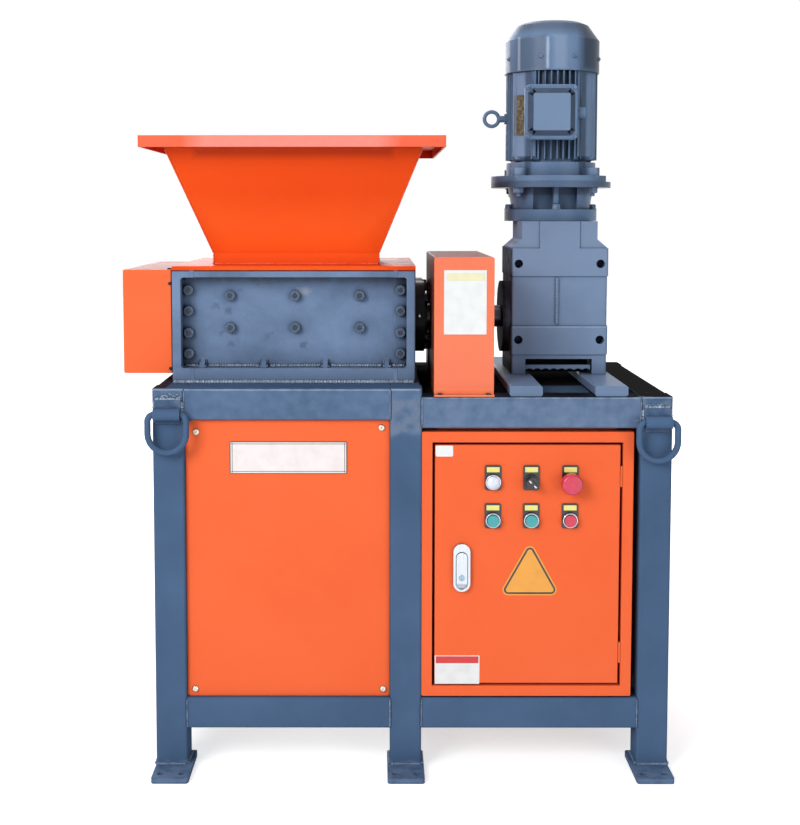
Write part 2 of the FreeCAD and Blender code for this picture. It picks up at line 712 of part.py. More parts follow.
def make_handle():
    x, z, face = handle_centre()
    plate = stadium(HANDLE_WIDTH, HANDLE_LENGTH, face - HANDLE_RAISE, HANDLE_RAISE, x, z)
    pocket_z = z - HANDLE_LENGTH * LEVER_DROP
    width, length = LEVER_WIDTH + 2 * LEVER_PLAY, LEVER_LENGTH + 2 * LEVER_PLAY
    pocket = stadium(width, length, face - HANDLE_RAISE - 1, HANDLE_RAISE + 1 - HANDLE_FLOOR, x, pocket_z)
    base = plate.cut(pocket)
    lever_back = face - HANDLE_FLOOR - LEVER_SEAT
    lever = stadium(LEVER_WIDTH, LEVER_LENGTH, face - LEVER_FRONT, LEVER_FRONT - HANDLE_FLOOR - LEVER_SEAT,
                    x, pocket_z)
    low = pocket_z - LEVER_LENGTH / 2 + LEVER_WIDTH / 2
    heel = rod_x(2 * LEVER_HEEL, x - LEVER_WIDTH / 2, x + LEVER_WIDTH / 2, lever_back - LEVER_HEEL, low)
    keep = block(x - 30, x + 30, face - 20, face, low, z + HANDLE_LENGTH)
    lever = lever.common(keep).fuse(heel)
    return base, lever.removeSplitter()


# Crushing box

def make_end_plate(x0, inner):
    """Thick plate with two journal holes; its inner side is sunk with the walls' recess."""
    plate = block(x0, x0 + END_PLATE, BOX_FRONT, BOX_BACK, LEFT_TOP, BOX_TOP)
    plate = plate.makeFillet(PLATE_CORNER, [e for e in plate.Edges if runs_along(e, "z")])
    for y in (FRONT_SHAFT_Y, REAR_SHAFT_Y):
        plate = plate.cut(rod_x(JOURNAL + JOURNAL_HOLE_PLAY, x0 - 1, x0 + END_PLATE + 1, y, SHAFT_Z))
    for near, far in ((BOX_FRONT - 1, BOX_FRONT + RIM_DEPTH), (BOX_BACK - RIM_DEPTH, BOX_BACK + 1)):
        plate = plate.cut(recess_end(x0, inner, near, far))
    return plate


def recess_end(x0, inner, near, far):
    """End of the walls' recess with rounded inner corners, cut out of an end plate."""
    x1, x2 = sorted((x0 + END_PLATE / 2 - inner * (END_PLATE / 2 - RIM_POST),
                     x0 + END_PLATE / 2 + inner * (END_PLATE / 2 + RIM_CORNER)))
    post = x1 if inner > 0 else x2
    pocket = block(x1, x2, near, far, LEFT_TOP + RIM_BOTTOM, BOX_TOP - RIM_SIDE)
    round_edges = [e for e in pocket.Edges if runs_along(e, "y") and abs(e.CenterOfMass.x - post) < 0.1]
    return pocket.makeFillet(RIM_CORNER, round_edges)


def make_side_wall(end):
    """Wall plate between the end plates with its outer rim and gussets."""
    inner = FRONT_WALL_Y if end < 0 else BACK_WALL_Y
    x0, x1 = CHAMBER_LEFT, CHAMBER_RIGHT
    wall = block(x0, x1, inner, inner + WALL_PLATE, LEFT_TOP, BOX_TOP)
    rim0, rim1 = (BOX_FRONT, FRONT_WALL_Y) if end < 0 else (BACK_WALL_Y + WALL_PLATE, BOX_BACK)
    face = rim1 if end < 0 else rim0
    bars = []
    for z0, z1 in ((BOX_TOP - RIM_SIDE, BOX_TOP), (LEFT_TOP, LEFT_TOP + RIM_BOTTOM)):
        bar = block(x0, x1, rim0, rim1, z0, z1)
        outer = [e for e in bar.Edges if runs_along(e, "x") and abs(e.CenterOfMass.y - face) > 1]
        bars.append(bar.makeFillet(RIM_EDGE, outer))
    foot = LEFT_TOP + RIM_BOTTOM
    for x in gusset_places():
        points = [(x, face, foot), (x, face + end * GUSSET_DEPTH, foot), (x, face, foot + GUSSET_HEIGHT)]
        bars.append(prism(points, (GUSSET_THICKNESS, 0, 0)))
    return wall.fuse(bars).removeSplitter()


def gusset_places():
    first = CHAMBER_LEFT + GUSSET_END
    last = CHAMBER_RIGHT - GUSSET_END - GUSSET_THICKNESS
    return [first + (last - first) * i / (GUSSET_COUNT - 1) for i in range(GUSSET_COUNT)]


def slot_x(index):
    return FIRST_SLOT + index * SLOT_PITCH


def make_combs(front):
    """Fixed scraper plates which reach between the cutters of one rotor."""
    y_shaft = FRONT_SHAFT_Y if front else REAR_SHAFT_Y
    wall = FRONT_WALL_Y + WALL_PLATE if front else BACK_WALL_Y
    near = y_shaft - COMB_SHORT if front else y_shaft + COMB_SHORT
    low, high = SHAFT_Z - COMB_BELOW, SHAFT_Z + COMB_ABOVE
    combs = []
    for index in range(1 if front else 0, CUTTER_SLOTS, 2):
        x0 = slot_x(index) - CUTTER_THICKNESS / 2
        points = [(x0, wall, low), (x0, near, low + 4), (x0, near, high - 8), (x0, wall, high)]
        comb = prism(points, (CUTTER_THICKNESS, 0, 0))
        collar = rod_x(2 * (SPACER_RADIUS + SIDE_GAP), x0 - 1, x0 + CUTTER_THICKNESS + 1, y_shaft, SHAFT_Z)
        keep = [s for s in comb.cut(collar).Solids if touches_wall(s, wall)]
        combs.append(max(keep, key=lambda s: s.Volume))
    return combs


def touches_wall(solid, wall):
    box = solid.BoundBox
    return min(abs(box.YMin - wall), abs(box.YMax - wall)) < 0.01


# Rotors

def hexagon(x, y, across, length):
    r = across / math.sqrt(3)
    points = []
    for k in range(6):
        a = math.radians(60 * k)
        points.append((x, y + r * math.cos(a), SHAFT_Z + r * math.sin(a)))
    return prism(points, (length, 0, 0))


def hook_profile(x, y, turn, mirror):
    """Closed wire of one cutter: each hook rises along a curve and drops at its tip."""
    edges = []
    step = 360.0 / CUTTER_HOOKS
    for k in range(CUTTER_HOOKS):
        places = ((CUTTER_ROOT, 0), (CUTTER_ROOT + HOOK_BELLY, 0.45), (CUTTER_RADIUS, 0.80),
                  (CUTTER_RADIUS, 0.93), (CUTTER_ROOT, 0.87), (CUTTER_ROOT, 0.935), (CUTTER_ROOT, 1))
        points = [polar(x, y, radius, turn + mirror * (k + share) * step) for radius, share in places]
        start, middle, tip, nose, under, low, end = points
        edges.append(Part.Arc(start, middle, tip).toShape())
        edges.append(Part.LineSegment(tip, nose).toShape())
        edges.append(Part.LineSegment(nose, under).toShape())
        edges.append(Part.Arc(under, low, end).toShape())
    return Part.Wire(edges)


def polar(x, y, radius, angle):
    a = math.radians(angle)
    return Vector(x, y + radius * math.cos(a), SHAFT_Z + radius * math.sin(a))


def make_cutters(y, first, mirror):
    cutters = []
    for index in range(first, CUTTER_SLOTS, 2):
        x0 = slot_x(index) - CUTTER_THICKNESS / 2
        turn = mirror * index * HOOK_SPIRAL * 360.0 / CUTTER_HOOKS
        disc = Part.Face(hook_profile(x0, y, turn, mirror)).extrude(Vector(CUTTER_THICKNESS, 0, 0))
        hole = hexagon(x0 - 1, y, SHAFT_HEX + 2 * HEX_PLAY, CUTTER_THICKNESS + 2)
        cutters.append(disc.cut(hole))
    return cutters


def rotor_ends():
    left = BOX_LEFT - HOUSING_THICKNESS - GEAR_STAND_OFF - GEAR_FACE - SHAFT_PAST_GEAR
    return left, CHAMBER_LEFT + ROTOR_END_PLAY, CHAMBER_RIGHT - ROTOR_END_PLAY


def make_shaft(y, right_end):
    """Journal bar from the gear to its right end with the hexagon that drives the cutters."""
    left, hex_left, hex_right = rotor_ends()
    shaft = rod_x(JOURNAL, left, right_end, y, SHAFT_Z)
    shaft = shaft.makeChamfer(SHAFT_CHAMFER, [e for e in shaft.Edges if isinstance(e.Curve, Part.Circle)])
    return shaft.fuse(hexagon(hex_left, y, SHAFT_HEX, hex_right - hex_left)).removeSplitter()


def make_spacers(y, first):
    """Collars on the hexagon between the cutters of one rotor."""
    spacers = []
    left, hex_left, hex_right = rotor_ends()
    cutters = [slot_x(i) for i in range(first, CUTTER_SLOTS, 2)]
    edges = [hex_left] + [c for x in cutters for c in (x - CUTTER_THICKNESS / 2, x + CUTTER_THICKNESS / 2)]
    edges = edges + [hex_right]
    for x0, x1 in zip(edges[0::2], edges[1::2]):
        ring = rod_x(2 * SPACER_RADIUS, x0, x1, y, SHAFT_Z)
        hole = hexagon(x0 - 1, y, SHAFT_HEX + 2 * HEX_PLAY, x1 - x0 + 2)
        spacers.append(ring.cut(hole))
    return spacers


def gear_wire(x, y, turn):
    """Tooth outline of a spur gear, flanks drawn as short lines on the involute."""
    pitch = GEAR_MODULE * GEAR_TEETH / 2
    base = pitch * math.cos(math.radians(20))
    tip = pitch + GEAR_MODULE * 0.9
    root = pitch - GEAR_MODULE * 1.25
    half = (math.pi * GEAR_MODULE / 2 - GEAR_BACKLASH) / 2 / pitch
    points = []
    for k in range(GEAR_TEETH):
        centre = math.radians(turn) + 2 * math.pi * k / GEAR_TEETH
        flank = []
        for radius in (root, base, pitch, (pitch + tip) / 2, tip):
            flank.append((radius, half + roll(pitch, base) - roll(radius, base)))
        for radius, angle in flank:
            points.append((radius, centre - angle))
        for radius, angle in reversed(flank):
            points.append((radius, centre + angle))
    corners = [Vector(x, y + r * math.cos(a), SHAFT_Z + r * math.sin(a)) for r, a in points]
    return Part.makePolygon(corners + corners[:1])


def roll(radius, base):
    if radius <= base:
        return 0.0
    lift = math.sqrt((radius / base) ** 2 - 1)
    return lift - math.atan(lift)


def make_gear(y, turn):
    x1 = BOX_LEFT - HOUSING_THICKNESS - GEAR_STAND_OFF
    x0 = x1 - GEAR_FACE
    gear = Part.Face(gear_wire(x0, y, turn)).extrude(Vector(GEAR_FACE, 0, 0))
    for side in (x0, x1 - GEAR_WEB_DEPTH):
        groove = rod_x(GEAR_WEB_OUTER, side, side + GEAR_WEB_DEPTH, y, SHAFT_Z)
        gear = gear.cut(groove.cut(rod_x(GEAR_WEB_INNER, side, side + GEAR_WEB_DEPTH, y, SHAFT_Z)))
    return gear.cut(rod_x(JOURNAL, x0 - 1, x1 + 1, y, SHAFT_Z))


# Bearing housings

def make_housing(x0, y, outward):
    """Flange bearing housing, flattened toward its neighbour, with a collar on its outside."""
    x1 = x0 + HOUSING_THICKNESS
    body = rod_x(HOUSING_DIAMETER, x0, x1, y, SHAFT_Z)
    toward = 1 if y == FRONT_SHAFT_Y else -1
    middle = (FRONT_SHAFT_Y + REAR_SHAFT_Y) / 2
    low, high = sorted((middle - toward * HOUSING_GAP / 2, y + toward * HOUSING_DIAMETER))
    flat = block(x0 - 1, x1 + 1, low, high, SHAFT_Z - HOUSING_DIAMETER, SHAFT_Z + HOUSING_DIAMETER)
    collar0 = x1 if outward > 0 else x0 - HOUSING_COLLAR_LENGTH
    collar = rod_x(HOUSING_COLLAR, collar0, collar0 + HOUSING_COLLAR_LENGTH, y, SHAFT_Z)
    bore = rod_x(JOURNAL + 2 * BEARING_PLAY, x0 - HOUSING_THICKNESS, x1 + HOUSING_THICKNESS, y, SHAFT_Z)
    return body.cut(flat).fuse(collar).cut(bore).removeSplitter()


# Covers and hopper

def make_gear_cover():
    x0, x1 = BOX_LEFT - COVER_LENGTH, BOX_LEFT
    z0 = LEFT_TOP + COVER_ABOVE_DECK
    z1 = BOX_TOP + COVER_ABOVE_BOX
    t = COVER_SHEET
    outer = block(x0, x1, COVER_FRONT, COVER_BACK, z0, z1)
    outer = outer.makeFillet(4, [e for e in outer.Edges if e.BoundBox.XMax < x0 + 1])
    return outer.cut(block(x0 + t, x1 + 1, COVER_FRONT + t, COVER_BACK - t, z0 + t, z1 - t))


def corners(z, length, width):
    """Corners of a level rectangle about the hopper's middle, anticlockwise from above."""
    cx, cy = HOPPER_CENTRE_X, HOPPER_CENTRE_Y
    signs = ((-1, -1), (1, -1), (1, 1), (-1, 1))
    return [Vector(cx + sx * length / 2, cy + sy * width / 2, z) for sx, sy in signs]


def frustum(z0, size0, z1, size1):
    """Flat-sided block between two level rectangles."""
    low, high = corners(z0, *size0), corners(z1, *size1)
    outlines = [low[::-1], high]
    for k in range(4):
        m = (k + 1) % 4
        outlines.append([low[k], low[m], high[m], high[k]])
    faces = [Part.Face(Part.makePolygon(outline + outline[:1])) for outline in outlines]
    return Part.makeSolid(Part.makeShell(faces))


def make_hopper():
    """Base plate, straight neck, sloping walls and a mouth rim folded down at its edge."""
    t = HOPPER_SHEET
    z0, z3 = BOX_TOP, BOX_TOP + HOPPER_RISE
    z1 = z0 + HOPPER_BASE_THICKNESS
    z2 = z1 + NECK_HEIGHT
    z4 = z3 + LIP_DROP
    neck, mouth, lip = (NECK_LENGTH, NECK_WIDTH), (MOUTH_LENGTH, MOUTH_WIDTH), (LIP_LENGTH, LIP_WIDTH)
    inner_neck, inner_mouth, inner_lip = [tuple(side - 2 * t for side in size)
                                          for size in (neck, mouth, lip)]
    body = block(BOX_LEFT, BOX_RIGHT, BOX_FRONT, BOX_BACK, z0, z1)
    body = body.fuse([frustum(z1, neck, z2, neck), frustum(z2, neck, z3, mouth), frustum(z3, lip, z4, lip)])
    body = body.cut(frustum(z0 - 1, inner_neck, z2, inner_neck))
    body = body.cut(frustum(z2, inner_neck, z3, inner_mouth))
    body = body.cut(frustum(z3, inner_mouth, z4 + 1, inner_mouth))
    under = frustum(z3 - 1, inner_lip, z4 - t, inner_lip).cut(frustum(z3 - 1, mouth, z4, mouth))
    return body.cut(under).removeSplitter()


def make_coupling_guard():
    t = GUARD_SHEET
    x0, x1 = GUARD_LEFT, GUARD_RIGHT
    z0, z1 = RIGHT_TOP, RIGHT_TOP + GUARD_HEIGHT
    outer = block(x0, x1, GUARD_FRONT, GUARD_BACK, z0, z1)
    outer = outer.makeFillet(4, [e for e in outer.Edges if e.BoundBox.ZMin > z1 - 1])
    guard = outer.cut(block(x0 + t, x1 - t, GUARD_FRONT + t, GUARD_BACK - t, z0 - 1, z1 - t))
    half = GUARD_SLOT / 2
    slot = block(x0 - 1, x1 + 1, FRONT_SHAFT_Y - half, FRONT_SHAFT_Y + half, z0 - 1, SHAFT_Z)
    slot = slot.fuse(rod_x(GUARD_SLOT, x0 - 1, x1 + 1, FRONT_SHAFT_Y, SHAFT_Z))
    foot = block(x0, x1, GUARD_FRONT - GUARD_FOOT, GUARD_FRONT + t, z0, z0 + t)
    return guard.cut(slot).fuse(foot).removeSplitter()


# Coupling

def make_coupling():
    """Chain coupling: a hub on each shaft, a sprocket ring on each hub and the chain between."""
    x0, x1 = COUPLING_LEFT, COUPLING_LEFT + COUPLING_LENGTH
    middle = (x0 + x1) / 2
    hub = rod_x(COUPLING_HUB, x0, x1, FRONT_SHAFT_Y, SHAFT_Z)
    rings = []
    for side in (-1, 1):
        centre = middle + side * COUPLING_RING_OUT
        rings.append(rod_x(COUPLING_DIAMETER, centre - COUPLING_RING / 2, centre + COUPLING_RING / 2,
                           FRONT_SHAFT_Y, SHAFT_Z))
    chain = rod_x(COUPLING_CHAIN, middle - COUPLING_RING_OUT, middle + COUPLING_RING_OUT,
                  FRONT_SHAFT_Y, SHAFT_Z)
    bores = [rod_x(JOURNAL, x0 - 1, middle, FRONT_SHAFT_Y, SHAFT_Z),
             rod_x(OUTPUT_SHAFT, middle, x1 + 1, FRONT_SHAFT_Y, SHAFT_Z)]
    return hub.fuse(rings + [chain]).cut(bores).removeSplitter()


def make_output_shaft():
    x0 = COUPLING_LEFT + COUPLING_LENGTH / 2 + SHAFT_END_GAP / 2
    x1 = GEARBOX_X - GEARBOX_WIDTH / 2 + OUTPUT_SHAFT_IN
    shaft = rod_x(OUTPUT_SHAFT, x0, x1, FRONT_SHAFT_Y, SHAFT_Z)
    return shaft.makeChamfer(SHAFT_CHAMFER, [shaft.Edges[0]])


# Gear unit

def make_sole_rails():
    rails = []
    y0, y1 = -HALF_DEPTH + SOLE_SETBACK, HALF_DEPTH - TUBE - SOLE_BACK_GAP
    for side in (-1, 1):
        x = GEARBOX_X - SOLE_OFFSET + side * SOLE_SPREAD / 2
        rail = block(x - SOLE_WIDTH / 2, x + SOLE_WIDTH / 2, y0, y1, RIGHT_TOP, SOLE_TOP)
        rails.append(rail.makeChamfer(SOLE_EDGE, [e for e in rail.Edges if runs_along(e, "y")]))
    return rails


def case_outline(inset):
    """Front outline of the case: two feet with an arch between, square body, narrower top."""
    x, y = GEARBOX_X, GEARBOX_FRONT + CASE_RELIEF
    w, s = GEARBOX_WIDTH / 2 - inset, SHOULDER_WIDTH / 2 - inset
    foot = GEARBOX_WIDTH / 2 - GEARBOX_FOOT
    shoulder = SOLE_TOP + SHOULDER_HEIGHT
    arch = SOLE_TOP + ARCH_HEIGHT
    right = [(foot, arch), (foot, SOLE_TOP), (w, SOLE_TOP), (w, shoulder),
             (s, shoulder + SHOULDER_CHAMFER), (s, GEARBOX_TOP)]
    left = [(-across, z) for across, z in right[::-1]]
    return [(x + across, y, z) for across, z in right + left]


def make_gear_case():
    """Cast case: a body with raised bands round it, a spine and the output hub at the left."""
    case = prism(case_outline(CASE_RELIEF / 2), (0, GEARBOX_DEPTH - 2 * CASE_RELIEF, 0))
    case = case.makeFillet(CASE_CORNER, [e for e in case.Edges if runs_along(e, "z") and e.Length > 100])
    w = GEARBOX_WIDTH / 2
    left = GEARBOX_X - w
    raised = [(w, SOLE_TOP + CASE_LOW_BAND[0], SOLE_TOP + CASE_LOW_BAND[1]),
              (w, SOLE_TOP + CASE_HIGH_BAND[0], SOLE_TOP + CASE_HIGH_BAND[1]),
              (CASE_SPINE / 2, SOLE_TOP + CASE_HIGH_BAND[0], GEARBOX_TOP)]
    bands = []
    for half, z0, z1 in raised:
        band = block(GEARBOX_X - half, GEARBOX_X + half, GEARBOX_FRONT, GEARBOX_BACK, z0, z1)
        radius = CASE_CORNER if half == w else CASE_RELIEF / 2
        bands.append(band.makeFillet(radius, [e for e in band.Edges if runs_along(e, "z")]))
    hub = rod_x(OUTPUT_HUB, left - OUTPUT_HUB_LENGTH, left + CASE_RELIEF, FRONT_SHAFT_Y, SHAFT_Z)
    case = case.fuse(bands + [hub])
    holes = [rod_x(OUTPUT_SHAFT + 2 * BEARING_PLAY, left - OUTPUT_HUB_LENGTH - 1, left + OUTPUT_SHAFT_IN + 2,
                   FRONT_SHAFT_Y, SHAFT_Z)]
    for side in (-1, 1):
        for height in (CASE_BOLT_LOW, CASE_BOLT_HIGH):
            start = (GEARBOX_X + side * CASE_BOLT_X / 2, GEARBOX_FRONT - 1, SOLE_TOP + height)
            holes.append(rod(CASE_BOLT_HOLE, CASE_BOLT_DEPTH + 1, start, (0, 1, 0)))
    return case.cut(holes).removeSplitter()


def make_adapter():
    """Bell between the case and the motor: a flange, a cone with windows and the top plate."""
    z0 = GEARBOX_TOP
    z1 = z0 + ADAPTER_FLANGE_HEIGHT
    z2 = z1 + ADAPTER_HEIGHT
    x, y = GEARBOX_X, MOTOR_Y
    flange = rod_z(ADAPTER_FLANGE, z0, z1, x, y)
    bell = Part.makeCone(ADAPTER_BOTTOM / 2, ADAPTER_TOP / 2, ADAPTER_HEIGHT, Vector(x, y, z1))
    windows = []
    for end in (-1, 1):
        near, far = sorted((y + end * ADAPTER_CORE / 2, y + end * ADAPTER_FLANGE))
        for side in (-1, 1):
            x0, x1 = sorted((x + side * ADAPTER_RIB / 2, x + side * ADAPTER_WINDOW))
            windows.append(block(x0, x1, near, far, z1 - 1, z2 + 1))
    plate = rod_z(MOTOR_FLANGE, z2, z2 + MOTOR_FLANGE_HEIGHT, x, y)
    return flange.fuse([bell.cut(windows), plate]).removeSplitter()


def motor_levels():
    flange = GEARBOX_TOP + ADAPTER_FLANGE_HEIGHT + ADAPTER_HEIGHT + MOTOR_FLANGE_HEIGHT
    shield = flange + MOTOR_FLANGE_HEIGHT
    body = shield + SHIELD_HEIGHT
    return flange, shield, body, body + MOTOR_HEIGHT


def around_motor(pieces, angles):
    """Copies of the pieces turned about the motor's axis."""
    copies = []
    for piece in pieces:
        for angle in angles:
            copy = piece.copy()
            copy.rotate(Vector(GEARBOX_X, MOTOR_Y, 0), Vector(0, 0, 1), angle)
            copies.append(copy)
    return copies


def cooling_fins():
    """Fins on the right side of the motor, parallel to each other and of one reach."""
    flange, shield, body, top = motor_levels()
    half, core = MOTOR_BODY / 2, MOTOR_CORE / 2
    fins = []
    for k in range(FIN_COUNT):
        shift = (k / (FIN_COUNT - 1) - 0.5) * FIN_SPREAD
        inner = math.sqrt(core ** 2 - shift ** 2) - FIN_ROOT
        outer = math.sqrt(half ** 2 - shift ** 2)
        y = MOTOR_Y + shift
        fins.append(block(GEARBOX_X + inner, GEARBOX_X + outer, y - FIN_THICKNESS / 2,
                          y + FIN_THICKNESS / 2, body + FIN_START, top))
    return fins


def corner_pad():
    """Flat pad on the motor's frame with its lower end cut back, before it is turned."""
    flange, shield, body, top = motor_levels()
    x0, x1 = GEARBOX_X + MOTOR_CORE / 4, GEARBOX_X + PAD_REACH
    pad = block(x0, x1, MOTOR_Y - PAD_WIDTH / 2, MOTOR_Y + PAD_WIDTH / 2, body, top)
    low = [e for e in pad.Edges if runs_along(e, "y")
           and e.BoundBox.ZMax < body + 1 and e.BoundBox.XMin > x1 - 1]
    return pad.makeChamfer(PAD_CUT, low)


def shield_lug():
    """Rounded lug on the end shield for one flange bolt, before it is turned."""
    flange, shield, body, top = motor_levels()
    out = FLANGE_BOLT_CIRCLE / 2
    z1 = shield + SHIELD_LUG_HEIGHT
    half = SHIELD_LUG / 2
    arm = block(GEARBOX_X + MOTOR_CORE / 4, GEARBOX_X + out, MOTOR_Y - half, MOTOR_Y + half, shield, z1)
    return arm.fuse(rod_z(SHIELD_LUG, shield, z1, GEARBOX_X + out, MOTOR_Y))


def make_motor():
    """Flange with one flat side, end shield with lugs, finned frame with pads and a cowl seat."""
    flange, shield, body, top = motor_levels()
    x, y = GEARBOX_X, MOTOR_Y
    reach = MOTOR_FLANGE / 2
    plate = rod_z(MOTOR_FLANGE, flange, shield, x, y)
    plate = plate.common(block(x - reach, x + MOTOR_FLANGE_FLAT, y - reach, y + reach, flange, shield))
    frame = [rod_z(SHIELD_DIAMETER, shield, body, x, y), rod_z(MOTOR_CORE, body, top, x, y)]
    frame.append(rod_z(COWL_DIAMETER - 2 * COWL_SHEET - 2 * COWL_PLAY, top, top + COWL_SEAT, x, y))
    corners_at = (45, 135, 225, 315)
    frame += around_motor([corner_pad(), shield_lug()], corners_at)
    frame += around_motor(cooling_fins(), (0, 90, 180, 270))
    half, z = TERMINAL_PAD / 2, terminal_middle()
    x0, x1 = x + TERMINAL_SIDE - half, x + TERMINAL_SIDE + half
    frame.append(block(x0, x1, y - MOTOR_BODY / 2, y - MOTOR_CORE / 4, z - half, z + half))
    frame.append(rod_x(MOTOR_BOSS, x - MOTOR_BODY / 2, x - MOTOR_CORE / 4, y, eye_level()))
    return plate.fuse(frame).removeSplitter()


def terminal_middle():
    flange, shield, body, top = motor_levels()
    return (body + top) / 2 + TERMINAL_UP


def eye_level():
    flange, shield, body, top = motor_levels()
    return (body + top) / 2


def upright_plate(x, z, width, height, y0, y1, corner):
    plate = block(x - width / 2, x + width / 2, y0, y1, z - height / 2, z + height / 2)
    return plate.makeFillet(corner, [e for e in plate.Edges if runs_along(e, "y")])


def make_terminal_box():
    """Box with a lid that stands out all round, a raised panel on the lid, and a gland."""
    x, z = GEARBOX_X + TERMINAL_SIDE, terminal_middle()
    back = MOTOR_Y - MOTOR_BODY / 2 - MOTOR_SEAT
    front = back - TERMINAL_DEPTH
    panel_back = front + TERMINAL_PANEL_RAISE
    lid_back = panel_back + TERMINAL_LID
    over = 2 * TERMINAL_OVERHANG
    box = upright_plate(x, z, TERMINAL_WIDTH - over, TERMINAL_HEIGHT - over, lid_back, back, TERMINAL_CORNER)
    lid = upright_plate(x, z, TERMINAL_WIDTH, TERMINAL_HEIGHT, panel_back, lid_back, TERMINAL_CORNER)
    lid = lid.makeChamfer(TERMINAL_OVERHANG / 2, front_edges(lid, panel_back))
    panel = upright_plate(x, z, TERMINAL_PANEL, TERMINAL_PANEL, front, panel_back, TERMINAL_CORNER)
    panel = panel.makeChamfer(TERMINAL_PANEL_RAISE - 1, front_edges(panel, front))
    side = x + TERMINAL_WIDTH / 2 - TERMINAL_OVERHANG
    gland = rod(GLAND_DIAMETER, GLAND_LENGTH, (side, (lid_back + back) / 2, z), (1, 0, 0))
    return box.fuse([lid, panel, gland]).removeSplitter()


def front_edges(shape, y):
    return [e for e in shape.Edges if e.BoundBox.YMax < y + 0.01]


def make_cowl():
    """Turned cowl: straight skirt, sloping shoulder and a flat crown with inlet slots."""
    flange, shield, body, top = motor_levels()
    x, y = GEARBOX_X, MOTOR_Y
    r, cap, t = COWL_DIAMETER / 2, COWL_TOP / 2, COWL_SHEET
    z1, z3 = top + COWL_STRAIGHT, top + COWL_HEIGHT
    z2 = z3 - COWL_EDGE
    crown = cap - COWL_CROWN
    outline = [(r - t, top), (r, top), (r, z1), (cap, z2), (crown, z3), (0, z3), (0, z3 - t),
               (crown, z3 - t), (cap - t, z2 - t), (r - t, z1)]
    points = [Vector(x + a, y, z) for a, z in outline]
    face = Part.Face(Part.makePolygon(points + points[:1]))
    shell = face.revolve(Vector(x, y, 0), Vector(0, 0, 1), 360)
    slot = block(x + COWL_SLOT_IN, x + COWL_SLOT_OUT, y - COWL_SLOT / 2, y + COWL_SLOT / 2, z2 - t, z3 + 1)
    return shell.cut(around_motor([slot], [360 * k / COWL_SLOTS for k in range(COWL_SLOTS)]))


def make_lifting_eye():
    """Eye bolt on the motor's left side: a ring on a short stem with a collar."""
    x = GEARBOX_X - MOTOR_BODY / 2 - MOTOR_SEAT
    z = eye_level()
    ring = Part.makeTorus(EYE_RADIUS, EYE_BAR / 2, Vector(x - EYE_OUT, MOTOR_Y, z), Vector(0, 1, 0))
    stem = rod_x(EYE_STEM, x - EYE_OUT + EYE_RADIUS - EYE_BAR / 4, x, MOTOR_Y, z)
    collar = rod_x(EYE_COLLAR, x - EYE_COLLAR_LENGTH, x, MOTOR_Y, z)
    return ring.fuse([stem, collar]).removeSplitter()


def build_stand():
    save("legs", *make_legs())
    save("foot_plates", *make_foot_plates())
    save("lower_rails", *make_rails(LOWER_RAIL_Z, LOWER_RAIL_Z))
    save("upper_rails", *make_rails(LEFT_TOP - TUBE, RIGHT_TOP - TUBE))
    save("left_deck", make_left_deck())
    save("right_deck", deck(1, RIGHT_TOP))
    places = ring_places()
    save("ring_brackets", *[ring_bracket(*place) for place in places.values()])
    for name, place in places.items():
        save("lifting_ring_" + name, lifting_ring(*place))
    save("left_front_panel", front_style_panel(0, -1, LEFT_TOP))
    save("right_rear_panel", front_style_panel(1, 1, RIGHT_TOP))
    save("left_side_panel", side_panel(LEG_X[0], LEFT_TOP))
    save("right_side_panel", side_panel(LEG_X[2], RIGHT_TOP))
    save("discharge_chute", make_discharge_chute())


def build_cabinet():
    save("cabinet", make_cabinet())
    save("cabinet_mounts", *cabinet_mounts())
    save("hinge_pins", *make_hinge_pins())
    save("cabinet_door", make_door())
    make_operators()
    plate, lever = make_handle()
    save("handle_plate", plate)
    save("handle_lever", lever)


def build_crusher():
    save("left_end_plate", make_end_plate(BOX_LEFT, 1))
    save("right_end_plate", make_end_plate(CHAMBER_RIGHT, -1))
    save("front_wall", make_side_wall(-1))
    save("back_wall", make_side_wall(1))
    save("front_combs", *make_combs(True))
    save("rear_combs", *make_combs(False))
    for name, y, first, mirror, end in (("front", FRONT_SHAFT_Y, 0, -1, COUPLING_LEFT + COUPLING_LENGTH / 2),
                                        ("rear", REAR_SHAFT_Y, 1, 1, BOX_RIGHT + HOUSING_THICKNESS)):
        save(name + "_shaft", make_shaft(y, end))
        save(name + "_spacers", *make_spacers(y, first))
        save(name + "_cutters", *make_cutters(y, first, mirror))
    half_pitch = 180.0 / GEAR_TEETH
    save("front_gear", make_gear(FRONT_SHAFT_Y, 0))
    save("rear_gear", make_gear(REAR_SHAFT_Y, 180 + half_pitch))
    housings = []
    for y in (FRONT_SHAFT_Y, REAR_SHAFT_Y):
        housings.append(make_housing(BOX_RIGHT, y, 1))
        housings.append(make_housing(BOX_LEFT - HOUSING_THICKNESS, y, -1))
    save("bearing_housings", *housings)
    save("gear_cover", make_gear_cover())
    save("hopper", make_hopper())


def build_drive():
    save("coupling_guard", make_coupling_guard())
    save("shaft_coupling", make_coupling())
    save("output_shaft", make_output_shaft())
    save("sole_rails", *make_sole_rails())
    save("gear_case", make_gear_case())
    save("motor_adapter", make_adapter())
    save("motor", make_motor())
    save("terminal_box", make_terminal_box())
    save("fan_cowl", make_cowl())
    save("motor_eye", make_lifting_eye())


os.makedirs("parts", exist_ok=True)
build_stand()
build_cabinet()
build_crusher()
build_drive()
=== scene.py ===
# %% [markdown]
# # A double shaft shredder
# The machine is a welded stand of square tube with a crushing box, a sheet hopper and a
# gear motor on top, and a control cabinet below. Its working pieces come from a fixed
# frame, so this lesson adds the looks: paint, welds, bolts, screws, stickers and light.
# Every new shape is worked out as arrays and put where the frame's own pieces are.

